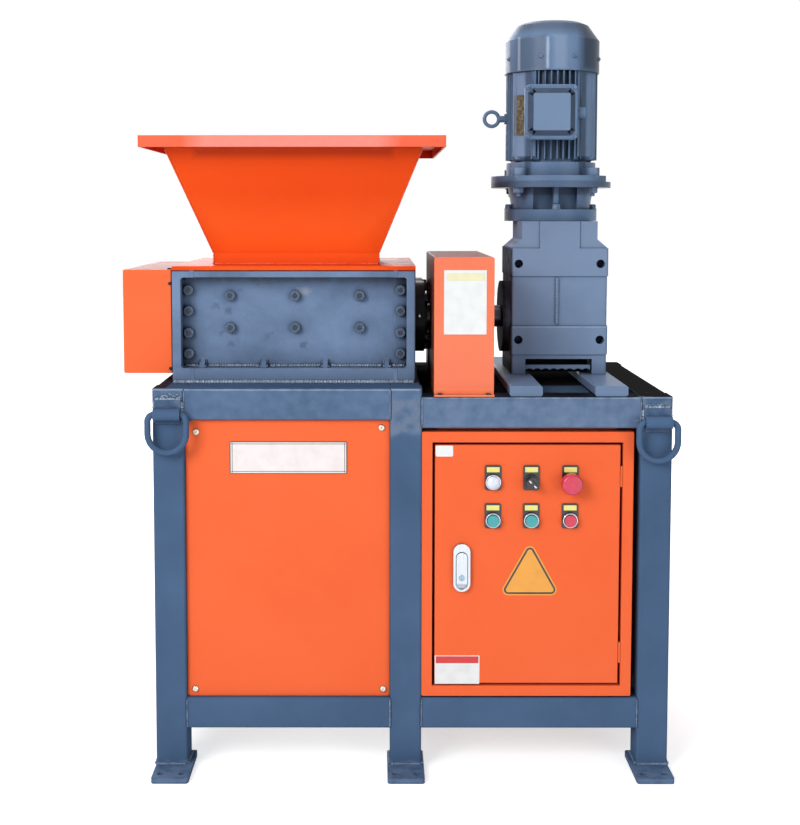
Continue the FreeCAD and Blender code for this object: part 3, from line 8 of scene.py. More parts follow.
# %% Load the frame
import math
import bpy
import numpy as np
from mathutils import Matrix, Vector
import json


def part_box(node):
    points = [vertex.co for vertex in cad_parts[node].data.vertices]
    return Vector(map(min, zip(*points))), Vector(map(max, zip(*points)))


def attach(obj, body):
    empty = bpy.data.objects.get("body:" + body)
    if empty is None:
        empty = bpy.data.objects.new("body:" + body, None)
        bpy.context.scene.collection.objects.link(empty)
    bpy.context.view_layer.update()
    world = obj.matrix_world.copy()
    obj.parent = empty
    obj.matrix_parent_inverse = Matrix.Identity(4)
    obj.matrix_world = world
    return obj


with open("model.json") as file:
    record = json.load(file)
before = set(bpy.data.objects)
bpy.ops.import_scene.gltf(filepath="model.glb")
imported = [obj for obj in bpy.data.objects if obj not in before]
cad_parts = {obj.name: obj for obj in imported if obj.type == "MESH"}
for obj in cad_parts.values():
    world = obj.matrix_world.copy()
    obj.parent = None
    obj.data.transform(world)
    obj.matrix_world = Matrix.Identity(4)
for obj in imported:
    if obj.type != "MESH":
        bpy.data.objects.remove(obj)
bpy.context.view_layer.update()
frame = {"nodes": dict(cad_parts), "record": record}
MM = 0.001
print("pieces in the frame:", len(frame["nodes"]))

# %% [markdown]
# ## Places
# A bolt or a sticker sits on a piece of the frame, so its place is read from that piece's
# box. Two small helpers give a box in numbers and the middle of the stand.

# %% Boxes of the frame's pieces
def limits(node):
    """Lowest and highest corner of a frame piece as two arrays, in metres."""
    low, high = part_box(node)
    return np.array(low), np.array(high)


LEGS = limits("legs")
STAND_X = (LEGS[0][0] + LEGS[1][0]) / 2
FRONT_Y = LEGS[0][1]


def at(x, y, z):
    """A point given in millimetres from the stand's middle, in metres of the frame."""
    return np.array([STAND_X + x * MM, y * MM, z * MM])


print("stand middle at", round(float(STAND_X), 4), "front plane at", round(float(FRONT_Y), 4))

# %% [markdown]
# ## Shapes as surfaces
# A shape is a function of two parameters on a grid. The helper below joins a grid's
# points into quads, and closes it on itself where a direction wraps round. Working with
# whole arrays keeps this short and quick.

# %% Grid, revolved and swept surfaces
def grid_faces(rows, columns, wrap_rows=False, wrap_columns=False):
    """Quads between neighbouring points of a grid, wrapped round where asked."""
    r = np.arange(rows if wrap_rows else rows - 1)
    c = np.arange(columns if wrap_columns else columns - 1)
    r, c = np.meshgrid(r, c, indexing="ij")
    r2, c2 = (r + 1) % rows, (c + 1) % columns
    quads = np.stack([r * columns + c, r * columns + c2, r2 * columns + c2, r2 * columns + c], -1)
    return quads.reshape(-1, 4)


def frame_of(direction):
    """Two unit vectors at right angles to a direction and to each other."""
    d = np.asarray(direction, float) / np.linalg.norm(direction)
    helper = np.array([0, 0, 1.0]) if abs(d[2]) < 0.9 else np.array([0, 1.0, 0])
    side = np.cross(helper, d)
    side /= np.linalg.norm(side)
    return d, side, np.cross(d, side)


def lathe(profile, origin, direction, segments=32, shape=None):
    """Revolved surface: radius times the cosine and sine of the angle, height along the axis.

    profile is rows of (radius, height). shape scales the radius by row and angle, for a
    hexagon or a lobed edge. The first and last rows have radius 0 and close the surface."""
    profile = np.asarray(profile, float)
    angle = np.linspace(0, 2 * np.pi, segments, endpoint=False)
    radius = np.repeat(profile[:, :1], segments, 1)
    if shape is not None:
        radius = radius * shape(angle)
    d, side, up = frame_of(direction)
    points = (np.asarray(origin) + profile[:, None, 1:] * d
              + radius[..., None] * (np.cos(angle)[None, :, None] * side
                                     + np.sin(angle)[None, :, None] * up))
    return points.reshape(-1, 3), grid_faces(len(profile), segments, wrap_columns=True)


def hexagon(rows, flat_rows):
    """Radius factor that makes chosen rows six-sided: 1 over the cosine of the angle to a flat."""
    def factor(angle):
        near = (angle + np.pi / 6) % (np.pi / 3) - np.pi / 6
        scale = np.ones((rows, len(angle)))
        scale[flat_rows] = 1 / np.cos(near)
        return scale
    return factor


def ball_bar(start, end, radius, rows=12, around=10, ripple=0.0, pitch=0.004, flatten=1.0, up=None):
    """Rounded bar from start to end: a circle carried along the line, drawn in at its ends.

    ripple adds a wave of that share of the radius along the line, one wave per pitch, as
    the steps of a hand-laid weld. flatten squashes the section along up."""
    start, end = np.asarray(start, float), np.asarray(end, float)
    length = np.linalg.norm(end - start)
    if ripple:
        rows = max(rows, int(length / pitch * 3))
    t = np.linspace(0, 1, rows)
    cap = min(radius / length, 0.45)
    near = np.minimum(np.minimum(t, 1 - t) / cap, 1)
    width = np.sqrt(1 - (1 - near) ** 2)
    wave = 1 + ripple * np.cos(2 * np.pi * t * length / pitch) + 0.5 * ripple * np.sin(t * length * 460)
    width = radius * width * wave
    d, side, lift = frame_of(end - start)
    if up is not None:
        lift = np.asarray(up, float) - d * np.dot(up, d)
        lift /= np.linalg.norm(lift)
        side = np.cross(lift, d)
    angle = np.linspace(0, 2 * np.pi, around, endpoint=False)
    ring = np.cos(angle)[:, None] * side + flatten * np.sin(angle)[:, None] * lift
    points = start + t[:, None, None] * (end - start) + width[:, None, None] * ring
    return points.reshape(-1, 3), grid_faces(rows, around, wrap_columns=True)


def outline_of(corners, radius, steps=6):
    """Points and outward normals round a convex outline whose corners are arcs.

    Each arc's centre lies inside its corner, the radius away from both sides, and the
    arc turns from one side's normal to the next one's."""
    corners = np.asarray(corners, float)
    into = corners - np.roll(corners, 1, 0)
    out = np.roll(corners, -1, 0) - corners
    first = np.stack([into[:, 1], -into[:, 0]], -1) / np.linalg.norm(into, axis=1)[:, None]
    last = np.stack([out[:, 1], -out[:, 0]], -1) / np.linalg.norm(out, axis=1)[:, None]
    centres = corners - radius * (first + last) / (1 + np.sum(first * last, axis=1))[:, None]
    start = np.arctan2(first[:, 1], first[:, 0])
    turn = (np.arctan2(last[:, 1], last[:, 0]) - start) % (2 * np.pi)
    angle = start[:, None] + turn[:, None] * np.linspace(0, 1, steps)
    normals = np.stack([np.cos(angle), np.sin(angle)], -1)
    return (centres[:, None] + radius * normals).reshape(-1, 2), normals.reshape(-1, 2)


def rectangle(width, height, corner):
    """Outline of a rectangle round its middle, with rounded corners."""
    w, h = width / 2, height / 2
    return outline_of([(w, -h), (w, h), (-w, h), (-w, -h)], corner)


def laid(outline, insets, lifts, centre, across, upward):
    """Rows of an outline, each drawn in along its normals and lifted off the plane.

    An inset of None gives the outline's middle point, which closes the surface."""
    points, normals = outline
    across, upward = np.asarray(across, float), np.asarray(upward, float)
    out = np.cross(across, upward)
    rows = []
    for inset, lift in zip(insets, lifts):
        flat = np.zeros_like(points) + points.mean(0) if inset is None else points - inset * normals
        rows.append(np.asarray(centre) + flat[:, :1] * across + flat[:, 1:] * upward + lift * out)
    return np.stack(rows)


def plate(outline, centre, across, upward, thickness, rim=0.0003):
    """Flat plate: an outline carried through its thickness, with a broken front edge."""
    rows = laid(outline, (None, 0, 0, rim, None), (0, 0, thickness - rim, thickness, thickness),
                centre, across, upward)
    return rows.reshape(-1, 3), grid_faces(len(rows), rows.shape[1], wrap_columns=True)


def border(outline, centre, across, upward, inset, line, thickness):
    """Raised line that follows an outline at an inset: a closed strip with four sides."""
    rows = laid(outline, (inset, inset, inset + line, inset + line), (0, thickness, thickness, 0),
                centre, across, upward)
    return rows.reshape(-1, 3), grid_faces(4, rows.shape[1], wrap_rows=True, wrap_columns=True)


def torus(centre, direction, radius, bar, flatten=1.0, segments=40, around=10):
    """Ring: a circle of the bar's radius carried round the axis, squashed along it."""
    turn = np.linspace(0, 2 * np.pi, around, endpoint=False)
    angle = np.linspace(0, 2 * np.pi, segments, endpoint=False)
    d, side, up = frame_of(direction)
    spoke = np.cos(angle)[:, None] * side + np.sin(angle)[:, None] * up
    points = (np.asarray(centre) + (flatten * bar * np.sin(turn))[:, None, None] * d
              + (radius + bar * np.cos(turn))[:, None, None] * spoke)
    return points.reshape(-1, 3), grid_faces(around, segments, wrap_rows=True, wrap_columns=True)


def prism_bar(profile, start, end, up):
    """Straight bar of a convex profile: its outline at both ends, closed by their middles."""
    start, end = np.asarray(start, float), np.asarray(end, float)
    d = (end - start) / np.linalg.norm(end - start)
    lift = np.asarray(up, float)
    side = np.cross(lift, d)
    profile = np.asarray(profile, float)
    ring = profile[:, :1] * side + profile[:, 1:] * lift
    middle = np.zeros_like(ring) + ring.mean(0)
    rows = np.stack([start + middle, start + ring, end + ring, end + middle])
    return rows.reshape(-1, 3), grid_faces(4, len(profile), wrap_columns=True)


def spatter(places, radius, seed, spread):
    """Small flattened drops thrown round given points, as a welder leaves them."""
    random = np.random.default_rng(seed)
    parts = []
    for place in places:
        middle = np.asarray(place) + random.uniform(-1, 1, 3) * spread
        size = radius * random.uniform(0.4, 1.0)
        turn = np.linspace(0, np.pi, 5)
        profile = np.stack([size * np.sin(turn), -size * 0.7 * np.cos(turn)], -1)
        parts.append(lathe(profile, middle, (0, 0, 1), 8))
    return parts


print("surface helpers ready")

# %% [markdown]
# ## From arrays to a piece
# Each piece is one mesh, often of many joined parts such as all the bolts of a wall. The
# points and quads go into the mesh in bulk. Doubled points at the poles are merged and
# the faces are turned outwards.

# %% Making a piece
import bmesh

SHARP_ANGLE = math.radians(38)
made_pieces = []


def make_piece(name, parts, material, body, smooth=True):
    """Joins (points, quads) parts into one mesh object which rides on a body."""
    offset, points, quads = 0, [], []
    for p, q in parts:
        points.append(p)
        quads.append(q + offset)
        offset += len(p)
    points, quads = np.concatenate(points), np.concatenate(quads)
    mesh = bpy.data.meshes.new(name)
    mesh.vertices.add(len(points))
    mesh.vertices.foreach_set("co", points.astype(np.float32).ravel())
    mesh.loops.add(quads.size)
    mesh.loops.foreach_set("vertex_index", quads.astype(np.int32).ravel())
    mesh.polygons.add(len(quads))
    mesh.polygons.foreach_set("loop_start", np.arange(0, quads.size, 4, dtype=np.int32))
    mesh.update(calc_edges=True)
    merged = bmesh.new()
    merged.from_mesh(mesh)
    bmesh.ops.remove_doubles(merged, verts=merged.verts, dist=2e-6)
    bmesh.ops.dissolve_degenerate(merged, edges=merged.edges, dist=1e-6)
    bmesh.ops.recalc_face_normals(merged, faces=merged.faces)
    merged.to_mesh(mesh)
    merged.free()
    if smooth:
        mesh.shade_smooth()
        mesh.set_sharp_from_angle(angle=SHARP_ANGLE)
    else:
        mesh.shade_flat()
    obj = bpy.data.objects.new(name, mesh)
    bpy.context.scene.collection.objects.link(obj)
    obj.data.materials.append(material)
    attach(obj, body)
    made_pieces.append(name)
    return obj


print("piece maker ready")

# %% [markdown]
# ## Effects shared by the finishes
# Real paint on welded steel isn't one colour: it pools, fades and picks up dust in the
# corners, and it is thin and bright on the edges. The corners and narrow gaps are darkened with
# painted shade as well. These effects are shader groups, built once: one gives masks for edges
# and hollows, one cloudy colour, one streaks, and one marks a single place.

# %% Node helpers
def put(tree, node, values):
    """Sets a node's inputs: a socket is linked, anything else becomes the input's value."""
    for key, value in values.items():
        if isinstance(value, bpy.types.NodeSocket):
            tree.links.new(value, node.inputs[key])
        else:
            node.inputs[key].default_value = value
    return node


def add_node(tree, kind, values=None, **settings):
    """One node with its settings and its inputs."""
    node = tree.nodes.new(kind)
    for key, value in settings.items():
        setattr(node, key, value)
    return put(tree, node, values or {})


def add_math(tree, operation, *operands, clamp=False):
    """A math node; each operand is a number or a socket."""
    return add_node(tree, "ShaderNodeMath", dict(enumerate(operands)), operation=operation,
                    use_clamp=clamp).outputs[0]


def add_mix(tree, factor, first, second):
    """A colour mix node; each input is a colour or a socket."""
    return add_node(tree, "ShaderNodeMix", {0: factor, 6: first, 7: second}, data_type="RGBA").outputs[2]


def add_ramp(tree, source, low, high, out_low=0.0, out_high=1.0):
    """Maps a value from low..high to 0..1 or another range, clamped."""
    return add_node(tree, "ShaderNodeMapRange", {"Value": source, "From Min": low, "From Max": high,
                                                 "To Min": out_low, "To Max": out_high}).outputs["Result"]


def object_place(tree):
    """The socket that gives a point's place in its object's own coordinates."""
    return add_node(tree, "ShaderNodeTexCoord").outputs["Object"]


def new_group(name, inputs, outputs):
    """An empty shader group with named sockets."""
    group = bpy.data.node_groups.new(name, "ShaderNodeTree")
    for label, kind, value in inputs:
        socket = group.interface.new_socket(label, in_out="INPUT", socket_type=kind)
        socket.default_value = value
    for label, kind in outputs:
        group.interface.new_socket(label, in_out="OUTPUT", socket_type=kind)
    return group, add_node(group, "NodeGroupInput"), add_node(group, "NodeGroupOutput")


FLOAT, COLOUR, VECTOR = "NodeSocketFloat", "NodeSocketColor", "NodeSocketVector"
print("node helpers ready")

# %% [markdown]
# Edges are found by comparing the true normal with one that is rounded over a small
# radius: where they part, there is an edge. Hollows come from ambient occlusion, and a
# shorter reach of it finds narrow gaps, which take painted shade.

# %% Wear and shade group
wear_and_shade_group, wear_and_shade_in, wear_and_shade_out = new_group(
    "Edges And Hollows",
    [("Edge Radius", FLOAT, 0.0015), ("Hollow Reach", FLOAT, 0.03), ("Break Up", FLOAT, 60.0)],
    [("Edge", FLOAT), ("Hollow", FLOAT), ("Crevice Shade", FLOAT), ("Normal", VECTOR)])
edge_radius, reach = wear_and_shade_in.outputs["Edge Radius"], wear_and_shade_in.outputs["Hollow Reach"]
bevel = add_node(wear_and_shade_group, "ShaderNodeBevel", {"Radius": edge_radius}, samples=4)
geometry = add_node(wear_and_shade_group, "ShaderNodeNewGeometry")
two_normals = {0: bevel.outputs["Normal"], 1: geometry.outputs["Normal"]}
dot = add_node(wear_and_shade_group, "ShaderNodeVectorMath", two_normals, operation="DOT_PRODUCT")
edge_raw = add_ramp(wear_and_shade_group, dot.outputs["Value"], 0.995, 0.86)
chips = add_node(wear_and_shade_group, "ShaderNodeTexNoise", {
    "Vector": object_place(wear_and_shade_group), "Scale": wear_and_shade_in.outputs["Break Up"],
    "Detail": 4.0, "Roughness": 0.6})
broken_up = add_ramp(wear_and_shade_group, chips.outputs["Fac"], 0.35, 0.65)
hollow = add_node(wear_and_shade_group, "ShaderNodeAmbientOcclusion", {"Distance": reach}, samples=6)
crevice_shade = add_node(wear_and_shade_group, "ShaderNodeAmbientOcclusion",
                   {"Distance": add_math(wear_and_shade_group, "MULTIPLY", reach, 0.2)}, samples=6)
put(wear_and_shade_group, wear_and_shade_out, {
    "Edge": add_math(wear_and_shade_group, "MULTIPLY", edge_raw, broken_up),
    "Hollow": add_math(wear_and_shade_group, "SUBTRACT", 1.0, hollow.outputs["AO"], clamp=True),
    "Crevice Shade": add_ramp(wear_and_shade_group, crevice_shade.outputs["AO"], 0.62, 0.35),
    "Normal": bevel.outputs["Normal"]})
print("wear group built")

# %% [markdown]
# Clouds are two noises, a wide one for pooled paint and dust and a fine one for the skin
# of the film. The fine one also gives a height for the bump.

# %% Paint film group
film_group, film_in, film_out = new_group(
    "Paint Film",
    [("Base", COLOUR, (0.1, 0.15, 0.25, 1)), ("Light", COLOUR, (0.2, 0.25, 0.35, 1)),
     ("Dark", COLOUR, (0.05, 0.08, 0.14, 1)), ("Cloud Size", FLOAT, 6.0), ("Cloud Strength", FLOAT, 0.5),
     ("Peel Size", FLOAT, 380.0), ("Peel Contrast", FLOAT, 0.06)],
    [("Color", COLOUR), ("Gloss", FLOAT), ("Height", FLOAT)])
cloud = add_node(film_group, "ShaderNodeTexNoise", {
    "Vector": object_place(film_group), "Scale": film_in.outputs["Cloud Size"],
    "Detail": 5.0, "Roughness": 0.55, "Distortion": 0.3})
peel = add_node(film_group, "ShaderNodeTexNoise", {
    "Vector": object_place(film_group), "Scale": film_in.outputs["Peel Size"],
    "Detail": 3.0, "Roughness": 0.5})
toned = film_in.outputs["Base"]
for fac, low, high, amount, tone in (
        (cloud.outputs["Fac"], 0.5, 0.8, "Cloud Strength", "Light"),
        (cloud.outputs["Fac"], 0.5, 0.22, "Cloud Strength", "Dark"),
        (peel.outputs["Fac"], 0.45, 0.25, "Peel Contrast", "Dark")):
    mask = add_math(film_group, "MULTIPLY", add_ramp(film_group, fac, low, high), film_in.outputs[amount],
                    clamp=True)
    toned = add_mix(film_group, mask, toned, film_in.outputs[tone])
put(film_group, film_out, {"Color": toned, "Gloss": cloud.outputs["Fac"], "Height": peel.outputs["Fac"]})
print("paint film group built")

# %% [markdown]
# Machined steel carries fine lines along one direction. A noise that is stretched far
# along that direction and squeezed across it looks the same.

# %% Machining group
streak_group, streak_in, streak_out = new_group(
    "Machining Lines", [("Stretch", VECTOR, (4.0, 900.0, 900.0)), ("Contrast", FLOAT, 0.4)],
    [("Shade", FLOAT), ("Height", FLOAT)])
stretched = add_node(streak_group, "ShaderNodeVectorMath",
                     {0: object_place(streak_group), 1: streak_in.outputs["Stretch"]}, operation="MULTIPLY")
lines = add_node(streak_group, "ShaderNodeTexNoise",
                 {"Vector": stretched.outputs[0], "Scale": 1.0, "Detail": 3.0}).outputs["Fac"]
put(streak_group, streak_out, {
    "Shade": add_math(streak_group, "MULTIPLY", add_ramp(streak_group, lines, 0.3, 0.7),
                      streak_in.outputs["Contrast"]),
    "Height": lines})
print("machining group built")

# %% [markdown]
# Some marks sit in one place only, such as filler on a leg, and so does painted light and
# shade on single faces. A zone is a soft-edged box in the object's own coordinates that gives a mask.

# %% Zone group
zone_group, zone_in, zone_out = new_group(
    "Zone", [("Middle", VECTOR, (0, 0, 0)), ("Half", VECTOR, (0.1, 0.1, 0.1)), ("Soft", FLOAT, 0.01),
             ("Ragged", FLOAT, 0.0)], [("Mask", FLOAT)])
place = object_place(zone_group)
offset = add_node(zone_group, "ShaderNodeVectorMath", {0: place, 1: zone_in.outputs["Middle"]},
                  operation="SUBTRACT")
away = add_node(zone_group, "ShaderNodeVectorMath", {0: offset.outputs[0]}, operation="ABSOLUTE")
past = add_node(zone_group, "ShaderNodeVectorMath", {0: away.outputs[0], 1: zone_in.outputs["Half"]},
                operation="SUBTRACT")
sides = add_node(zone_group, "ShaderNodeSeparateXYZ", {0: past.outputs[0]})
furthest = add_math(zone_group, "MAXIMUM", sides.outputs[0], sides.outputs[1])
furthest = add_math(zone_group, "MAXIMUM", furthest, sides.outputs[2])
ragged = add_node(zone_group, "ShaderNodeTexNoise", {"Vector": place, "Scale": 45.0, "Detail": 4.0})
wobble = add_math(zone_group, "MULTIPLY", add_math(zone_group, "SUBTRACT", ragged.outputs["Fac"], 0.5),
                  zone_in.outputs["Ragged"])
fade = add_math(zone_group, "DIVIDE", add_math(zone_group, "ADD", furthest, wobble), zone_in.outputs["Soft"])
put(zone_group, zone_out, {"Mask": add_math(zone_group, "SUBTRACT", 0.5, fade, clamp=True)})
print("zone group built")

# %% [markdown]
# ## Finishes
# Painted pieces share one recipe with their own colours: film for the colour, worn
# edges, dust and painted shade in the hollows, painted shade in narrow gaps, zones of painted
# light and shade on some faces, and a soft bump. The shader itself stays in the material.

# %% Painted metal
def new_material(name):
    """An empty node material with its shader and output."""
    material = bpy.data.materials.new(name)
    material.use_nodes = True
    tree = material.node_tree
    tree.nodes.clear()
    shader = add_node(tree, "ShaderNodeBsdfPrincipled")
    add_node(tree, "ShaderNodeOutputMaterial", {"Surface": shader.outputs["BSDF"]})
    return material, tree, shader


def use_group(tree, group, values):
    """Places a shared group in a material with its own values."""
    node = add_node(tree, "ShaderNodeGroup")
    node.node_tree = group
    return put(tree, node, values)


def lay(tree, colour, over, mask, amount):
    """Lays one colour over another where a mask is, by an amount."""
    return add_mix(tree, add_math(tree, "MULTIPLY", mask, amount, clamp=True), colour, over)


def finish_surface(tree, shader, colour, rough, height, normal, bump, distance):
    """Feeds the shader its colour and roughness, and a normal that follows a height."""
    lift = add_node(tree, "ShaderNodeBump", {"Strength": bump, "Distance": distance, "Height": height,
                                             "Normal": normal})
    put(tree, shader, {"Base Color": colour, "Roughness": rough, "Normal": lift.outputs["Normal"]})


# Near-black painted shade laid into narrow gaps.
CREVICE_SHADE_BLACK = (0.006, 0.006, 0.008, 1.0)


def painted(name, base, light, dark, cloud=(6.0, 0.5), peel=(380.0, 0.06), edge_colour=None, edge=0.5,
            hollow=0.5, hollow_colour=None, reach=0.03, roughness=(0.38, 0.55), coat=0.15,
            bump=0.05, edge_radius=0.0015, zones=(), specular=0.10, crevice_shade=0.5):
    """Paint over steel: clouded film, bright worn edges, hollows darkened as dust and painted shade, and
    near-black painted shade in narrow gaps.

    zones are rows of (low corner, high corner, soft, ragged, colour, amount) in stand
    millimetres, for marks that sit in one place and for painted light and shade on single faces."""
    material, tree, shader = new_material(name)
    film = use_group(tree, film_group, {
        "Base": base, "Light": light, "Dark": dark, "Cloud Size": cloud[0], "Cloud Strength": cloud[1],
        "Peel Size": peel[0], "Peel Contrast": peel[1]})
    wear_and_shade = use_group(tree, wear_and_shade_group, {"Edge Radius": edge_radius, "Hollow Reach": reach})
    colour = film.outputs["Color"]
    for low, high, soft, ragged, zone_colour, amount in zones:
        low, high = at(*low), at(*high)
        middle, half = tuple((low + high) / 2), tuple((high - low) / 2)
        zone = use_group(tree, zone_group, {"Middle": middle, "Half": half, "Soft": soft, "Ragged": ragged})
        colour = lay(tree, colour, rgb(*zone_colour), zone.outputs["Mask"], amount)
    colour = lay(tree, colour, hollow_colour or dark, wear_and_shade.outputs["Hollow"], hollow)
    colour = lay(tree, colour, edge_colour or light, wear_and_shade.outputs["Edge"], edge)
    colour = lay(tree, colour, CREVICE_SHADE_BLACK, wear_and_shade.outputs["Crevice Shade"], crevice_shade)
    rough = add_ramp(tree, film.outputs["Gloss"], 0.3, 0.7, *roughness)
    finish_surface(tree, shader, colour, rough, film.outputs["Height"], wear_and_shade.outputs["Normal"], bump, 0.0006)
    put(tree, shader, {"Specular IOR Level": specular, "Coat Weight": coat, "Coat Roughness": 0.25})
    return material


def rgb(red, green, blue):
    return (red, green, blue, 1.0)


def shades(base, light=1.4, dark=0.6):
    """A colour with a lighter and a darker neighbour."""
    return [rgb(*(min(1.0, c * k) for c in base)) for k in (1.0, light, dark)]


FILLER = (0.17, 0.215, 0.30)
TOP_SHADE_BLACK = (0.010, 0.009, 0.009)
FRAME_MARKS_AND_LIGHT = [
    # Painted light: the upper front rails are lighter, the right one most.
    ((-428, -290, 655), (430, -284, 740), 0.030, 0.04, (0.145, 0.218, 0.350), 0.8),
    ((20, -290, 655), (430, -284, 712), 0.020, 0.03, (0.190, 0.260, 0.390), 0.6),
    # Painted shade on the top faces of the right bay.
    ((12, -283, 719.0), (492, 292, 722), 0.0012, 0.0, TOP_SHADE_BLACK, 1.0),
    # Painted highlights along the top front edges of the rails.
    ((18, -291, 717.0), (488, -284, 719.4), 0.0010, 0.003, (0.34, 0.42, 0.55), 0.7),
    ((-492, -290, 731.8), (14, -283, 736), 0.0015, 0.003, (0.30, 0.39, 0.52), 0.75),
    # Red-brown painted shade on the top of the left end rail.
    ((-492, -276, 734.2), (-466, 292, 737), 0.0012, 0.0, (0.045, 0.022, 0.022), 0.9),
    # Filler over the joints of the posts.
    ((-40, -290, 655), (16, -284, 712), 0.012, 0.05, FILLER, 0.75),
    ((-486, -290, 700), (-434, -284, 730), 0.010, 0.04, FILLER, 0.5),
    ((432, -290, 655), (486, -284, 712), 0.010, 0.05, FILLER, 0.65),
    # Painted light on the foot plates and the foot of each leg.
    ((-492, -360, 0), (492, 360, 12), 0.010, 0.03, (0.145, 0.225, 0.360), 0.85)
]
frame_paint = painted("frame paint", *shades((0.070, 0.125, 0.226), 1.45, 0.62), cloud=(5.0, 0.5), edge=0.5,
                      edge_colour=rgb(0.24, 0.31, 0.43), hollow=0.5, roughness=(0.34, 0.5), coat=0.03,
                      specular=0.0, zones=FRAME_MARKS_AND_LIGHT)
BOX_MARKS_AND_SHADE = [
    ((-452, -162, 934), (-8, -139, 945), 0.014, 0.04, (0.15, 0.135, 0.13), 0.55),
    ((-452, -162, 760), (-8, -139, 768), 0.008, 0.03, (0.08, 0.08, 0.09), 0.3),
    ((-222, -162, 908), (-194, -139, 917), 0.008, 0.03, (0.42, 0.43, 0.48), 0.5),
    ((-470, -200, 735), (10, -190, 762), 0.006, 0.01, (0.21, 0.30, 0.46), 0.6),
    # A black line painted under the orange base plate as its shadow.
    ((-470, -200, 952.0), (10, 280, 954.5), 0.0006, 0.0, (0.006, 0.006, 0.010), 1.0)
]
PLATE_DENTS = ((-334, 916), (-382, 883), (-360, 873), (-376, 826), (-354, 812), (-280, 822), (-213, 804))
BOX_MARKS_AND_SHADE += [((x - 4, -162, z - 4), (x + 4, -139, z + 4), 0.006, 0.03, (0.075, 0.105, 0.17), 0.55)
              for x, z in PLATE_DENTS]
BOX_SHADES = shades((0.155, 0.228, 0.365), 1.5, 0.5)
box_paint = painted("crushing box paint", *BOX_SHADES, cloud=(9.0, 0.8), peel=(260.0, 0.12), edge=0.6,
                    edge_colour=rgb(0.34, 0.40, 0.50), hollow=0.9, hollow_colour=rgb(0.03, 0.04, 0.065),
                    reach=0.05, bump=0.12, crevice_shade=0.9, coat=0.05, specular=0.03, zones=BOX_MARKS_AND_SHADE)
joint_paint = painted("ground joint paint", *BOX_SHADES, cloud=(9.0, 0.8), peel=(260.0, 0.12), edge=0.0,
                      hollow=0.0, crevice_shade=0.0, bump=0.12, coat=0.0, specular=0.03)
DRIVE_MARKS_AND_LIGHT = [
    # Painted shade on the motor's right side.
    ((388, -200, 1120), (480, 300, 1350), 0.05, 0.0, (0.035, 0.060, 0.105), 0.7),
    # Painted reflections: dark and light stripes down the front of the cowl.
    ((218, -200, 1354), (274, 45, 1424), 0.012, 0.01, (0.075, 0.110, 0.170), 0.7),
    ((276, -200, 1358), (281, 45, 1420), 0.004, 0.004, (0.42, 0.50, 0.60), 0.8),
    ((291, -200, 1356), (316, 45, 1424), 0.010, 0.0, (0.215, 0.300, 0.430), 0.8),
    ((203, -200, 1356), (208, 45, 1424), 0.003, 0.0, (0.52, 0.58, 0.66), 0.7),
    ((222, -200, 1356), (226, 45, 1424), 0.003, 0.0, (0.36, 0.43, 0.52), 0.7),
    # Painted shade on the cowl's top and on its right side.
    ((150, -200, 1432), (480, 300, 1470), 0.02, 0.0, (0.068, 0.098, 0.155), 0.8),
    ((348, -200, 1354), (480, 300, 1470), 0.020, 0.0, (0.034, 0.048, 0.078), 0.9),
    # Painted reflections: light and dark stripes down the front of the motor body.
    ((214, -50, 1138), (236, 30, 1352), 0.004, 0.01, (0.230, 0.320, 0.470), 0.75),
    ((238, -50, 1138), (249, 30, 1352), 0.004, 0.0, (0.055, 0.085, 0.145), 0.7),
    ((346, -50, 1138), (362, 30, 1352), 0.005, 0.0, (0.045, 0.072, 0.120), 0.8),
    ((365, -50, 1138), (386, 30, 1352), 0.005, 0.01, (0.200, 0.285, 0.430), 0.7),
    # Darker bands at the motor's flange and at the case's input flange.
    ((150, -200, 1102), (440, 200, 1130), 0.004, 0.0, (0.060, 0.088, 0.145), 0.6),
    ((150, -200, 1100), (206, 120, 1131), 0.030, 0.0, (0.030, 0.033, 0.040), 0.85),
    ((165, -120, 1047), (212, 120, 1073), 0.015, 0.0, (0.018, 0.014, 0.018), 0.85),
    # Painted light on the front of the terminal box lid.
    ((246, -96, 1230), (320, -93, 1304), 0.004, 0.0, (0.190, 0.275, 0.415), 0.8)
]
drive_paint = painted("drive paint", *shades((0.135, 0.215, 0.355), 1.4, 0.5), cloud=(7.0, 0.4), edge=0.4,
                      edge_colour=rgb(0.26, 0.34, 0.46), hollow=0.75, hollow_colour=rgb(0.02, 0.03, 0.05),
                      roughness=(0.26, 0.4), coat=0.15, specular=0.06, zones=DRIVE_MARKS_AND_LIGHT)
# A darker copy of the drive paint, as painted shade on the lid's bevel.
bevel_shade_paint = painted("lid bevel in painted shade", *shades((0.050, 0.075, 0.125), 1.6, 0.6), cloud=(20.0, 0.5),
                      edge=0.5, edge_colour=rgb(0.16, 0.22, 0.32), hollow=0.4, roughness=(0.3, 0.42),
                      coat=0.1)
CASE_MARKS_AND_LIGHT = [
    ((180, -200, 735), (205, 200, 1049), 0.003, 0.0, (0.012, 0.010, 0.013), 1.0),
    ((200, -200, 1003), (219, 200, 1049), 0.003, 0.03, (0.035, 0.016, 0.020), 0.9),
    # A painted highlight along the lower line of the case.
    ((206, -108, 834.5), (398, -100, 837), 0.0012, 0.003, (0.40, 0.48, 0.60), 0.6),
    # Painted light over the case's front below and above its middle band, and painted shade inside the arch
    # under the case.
    ((206, -110, 775), (390, 90, 930), 0.03, 0.02, (0.215, 0.300, 0.450), 0.5),
    ((225, -100, 735), (372, 90, 775), 0.004, 0.0, (0.012, 0.014, 0.02), 0.9),
    ((205, -110, 948), (390, 90, 1050), 0.02, 0.02, (0.215, 0.280, 0.410), 0.6)
]
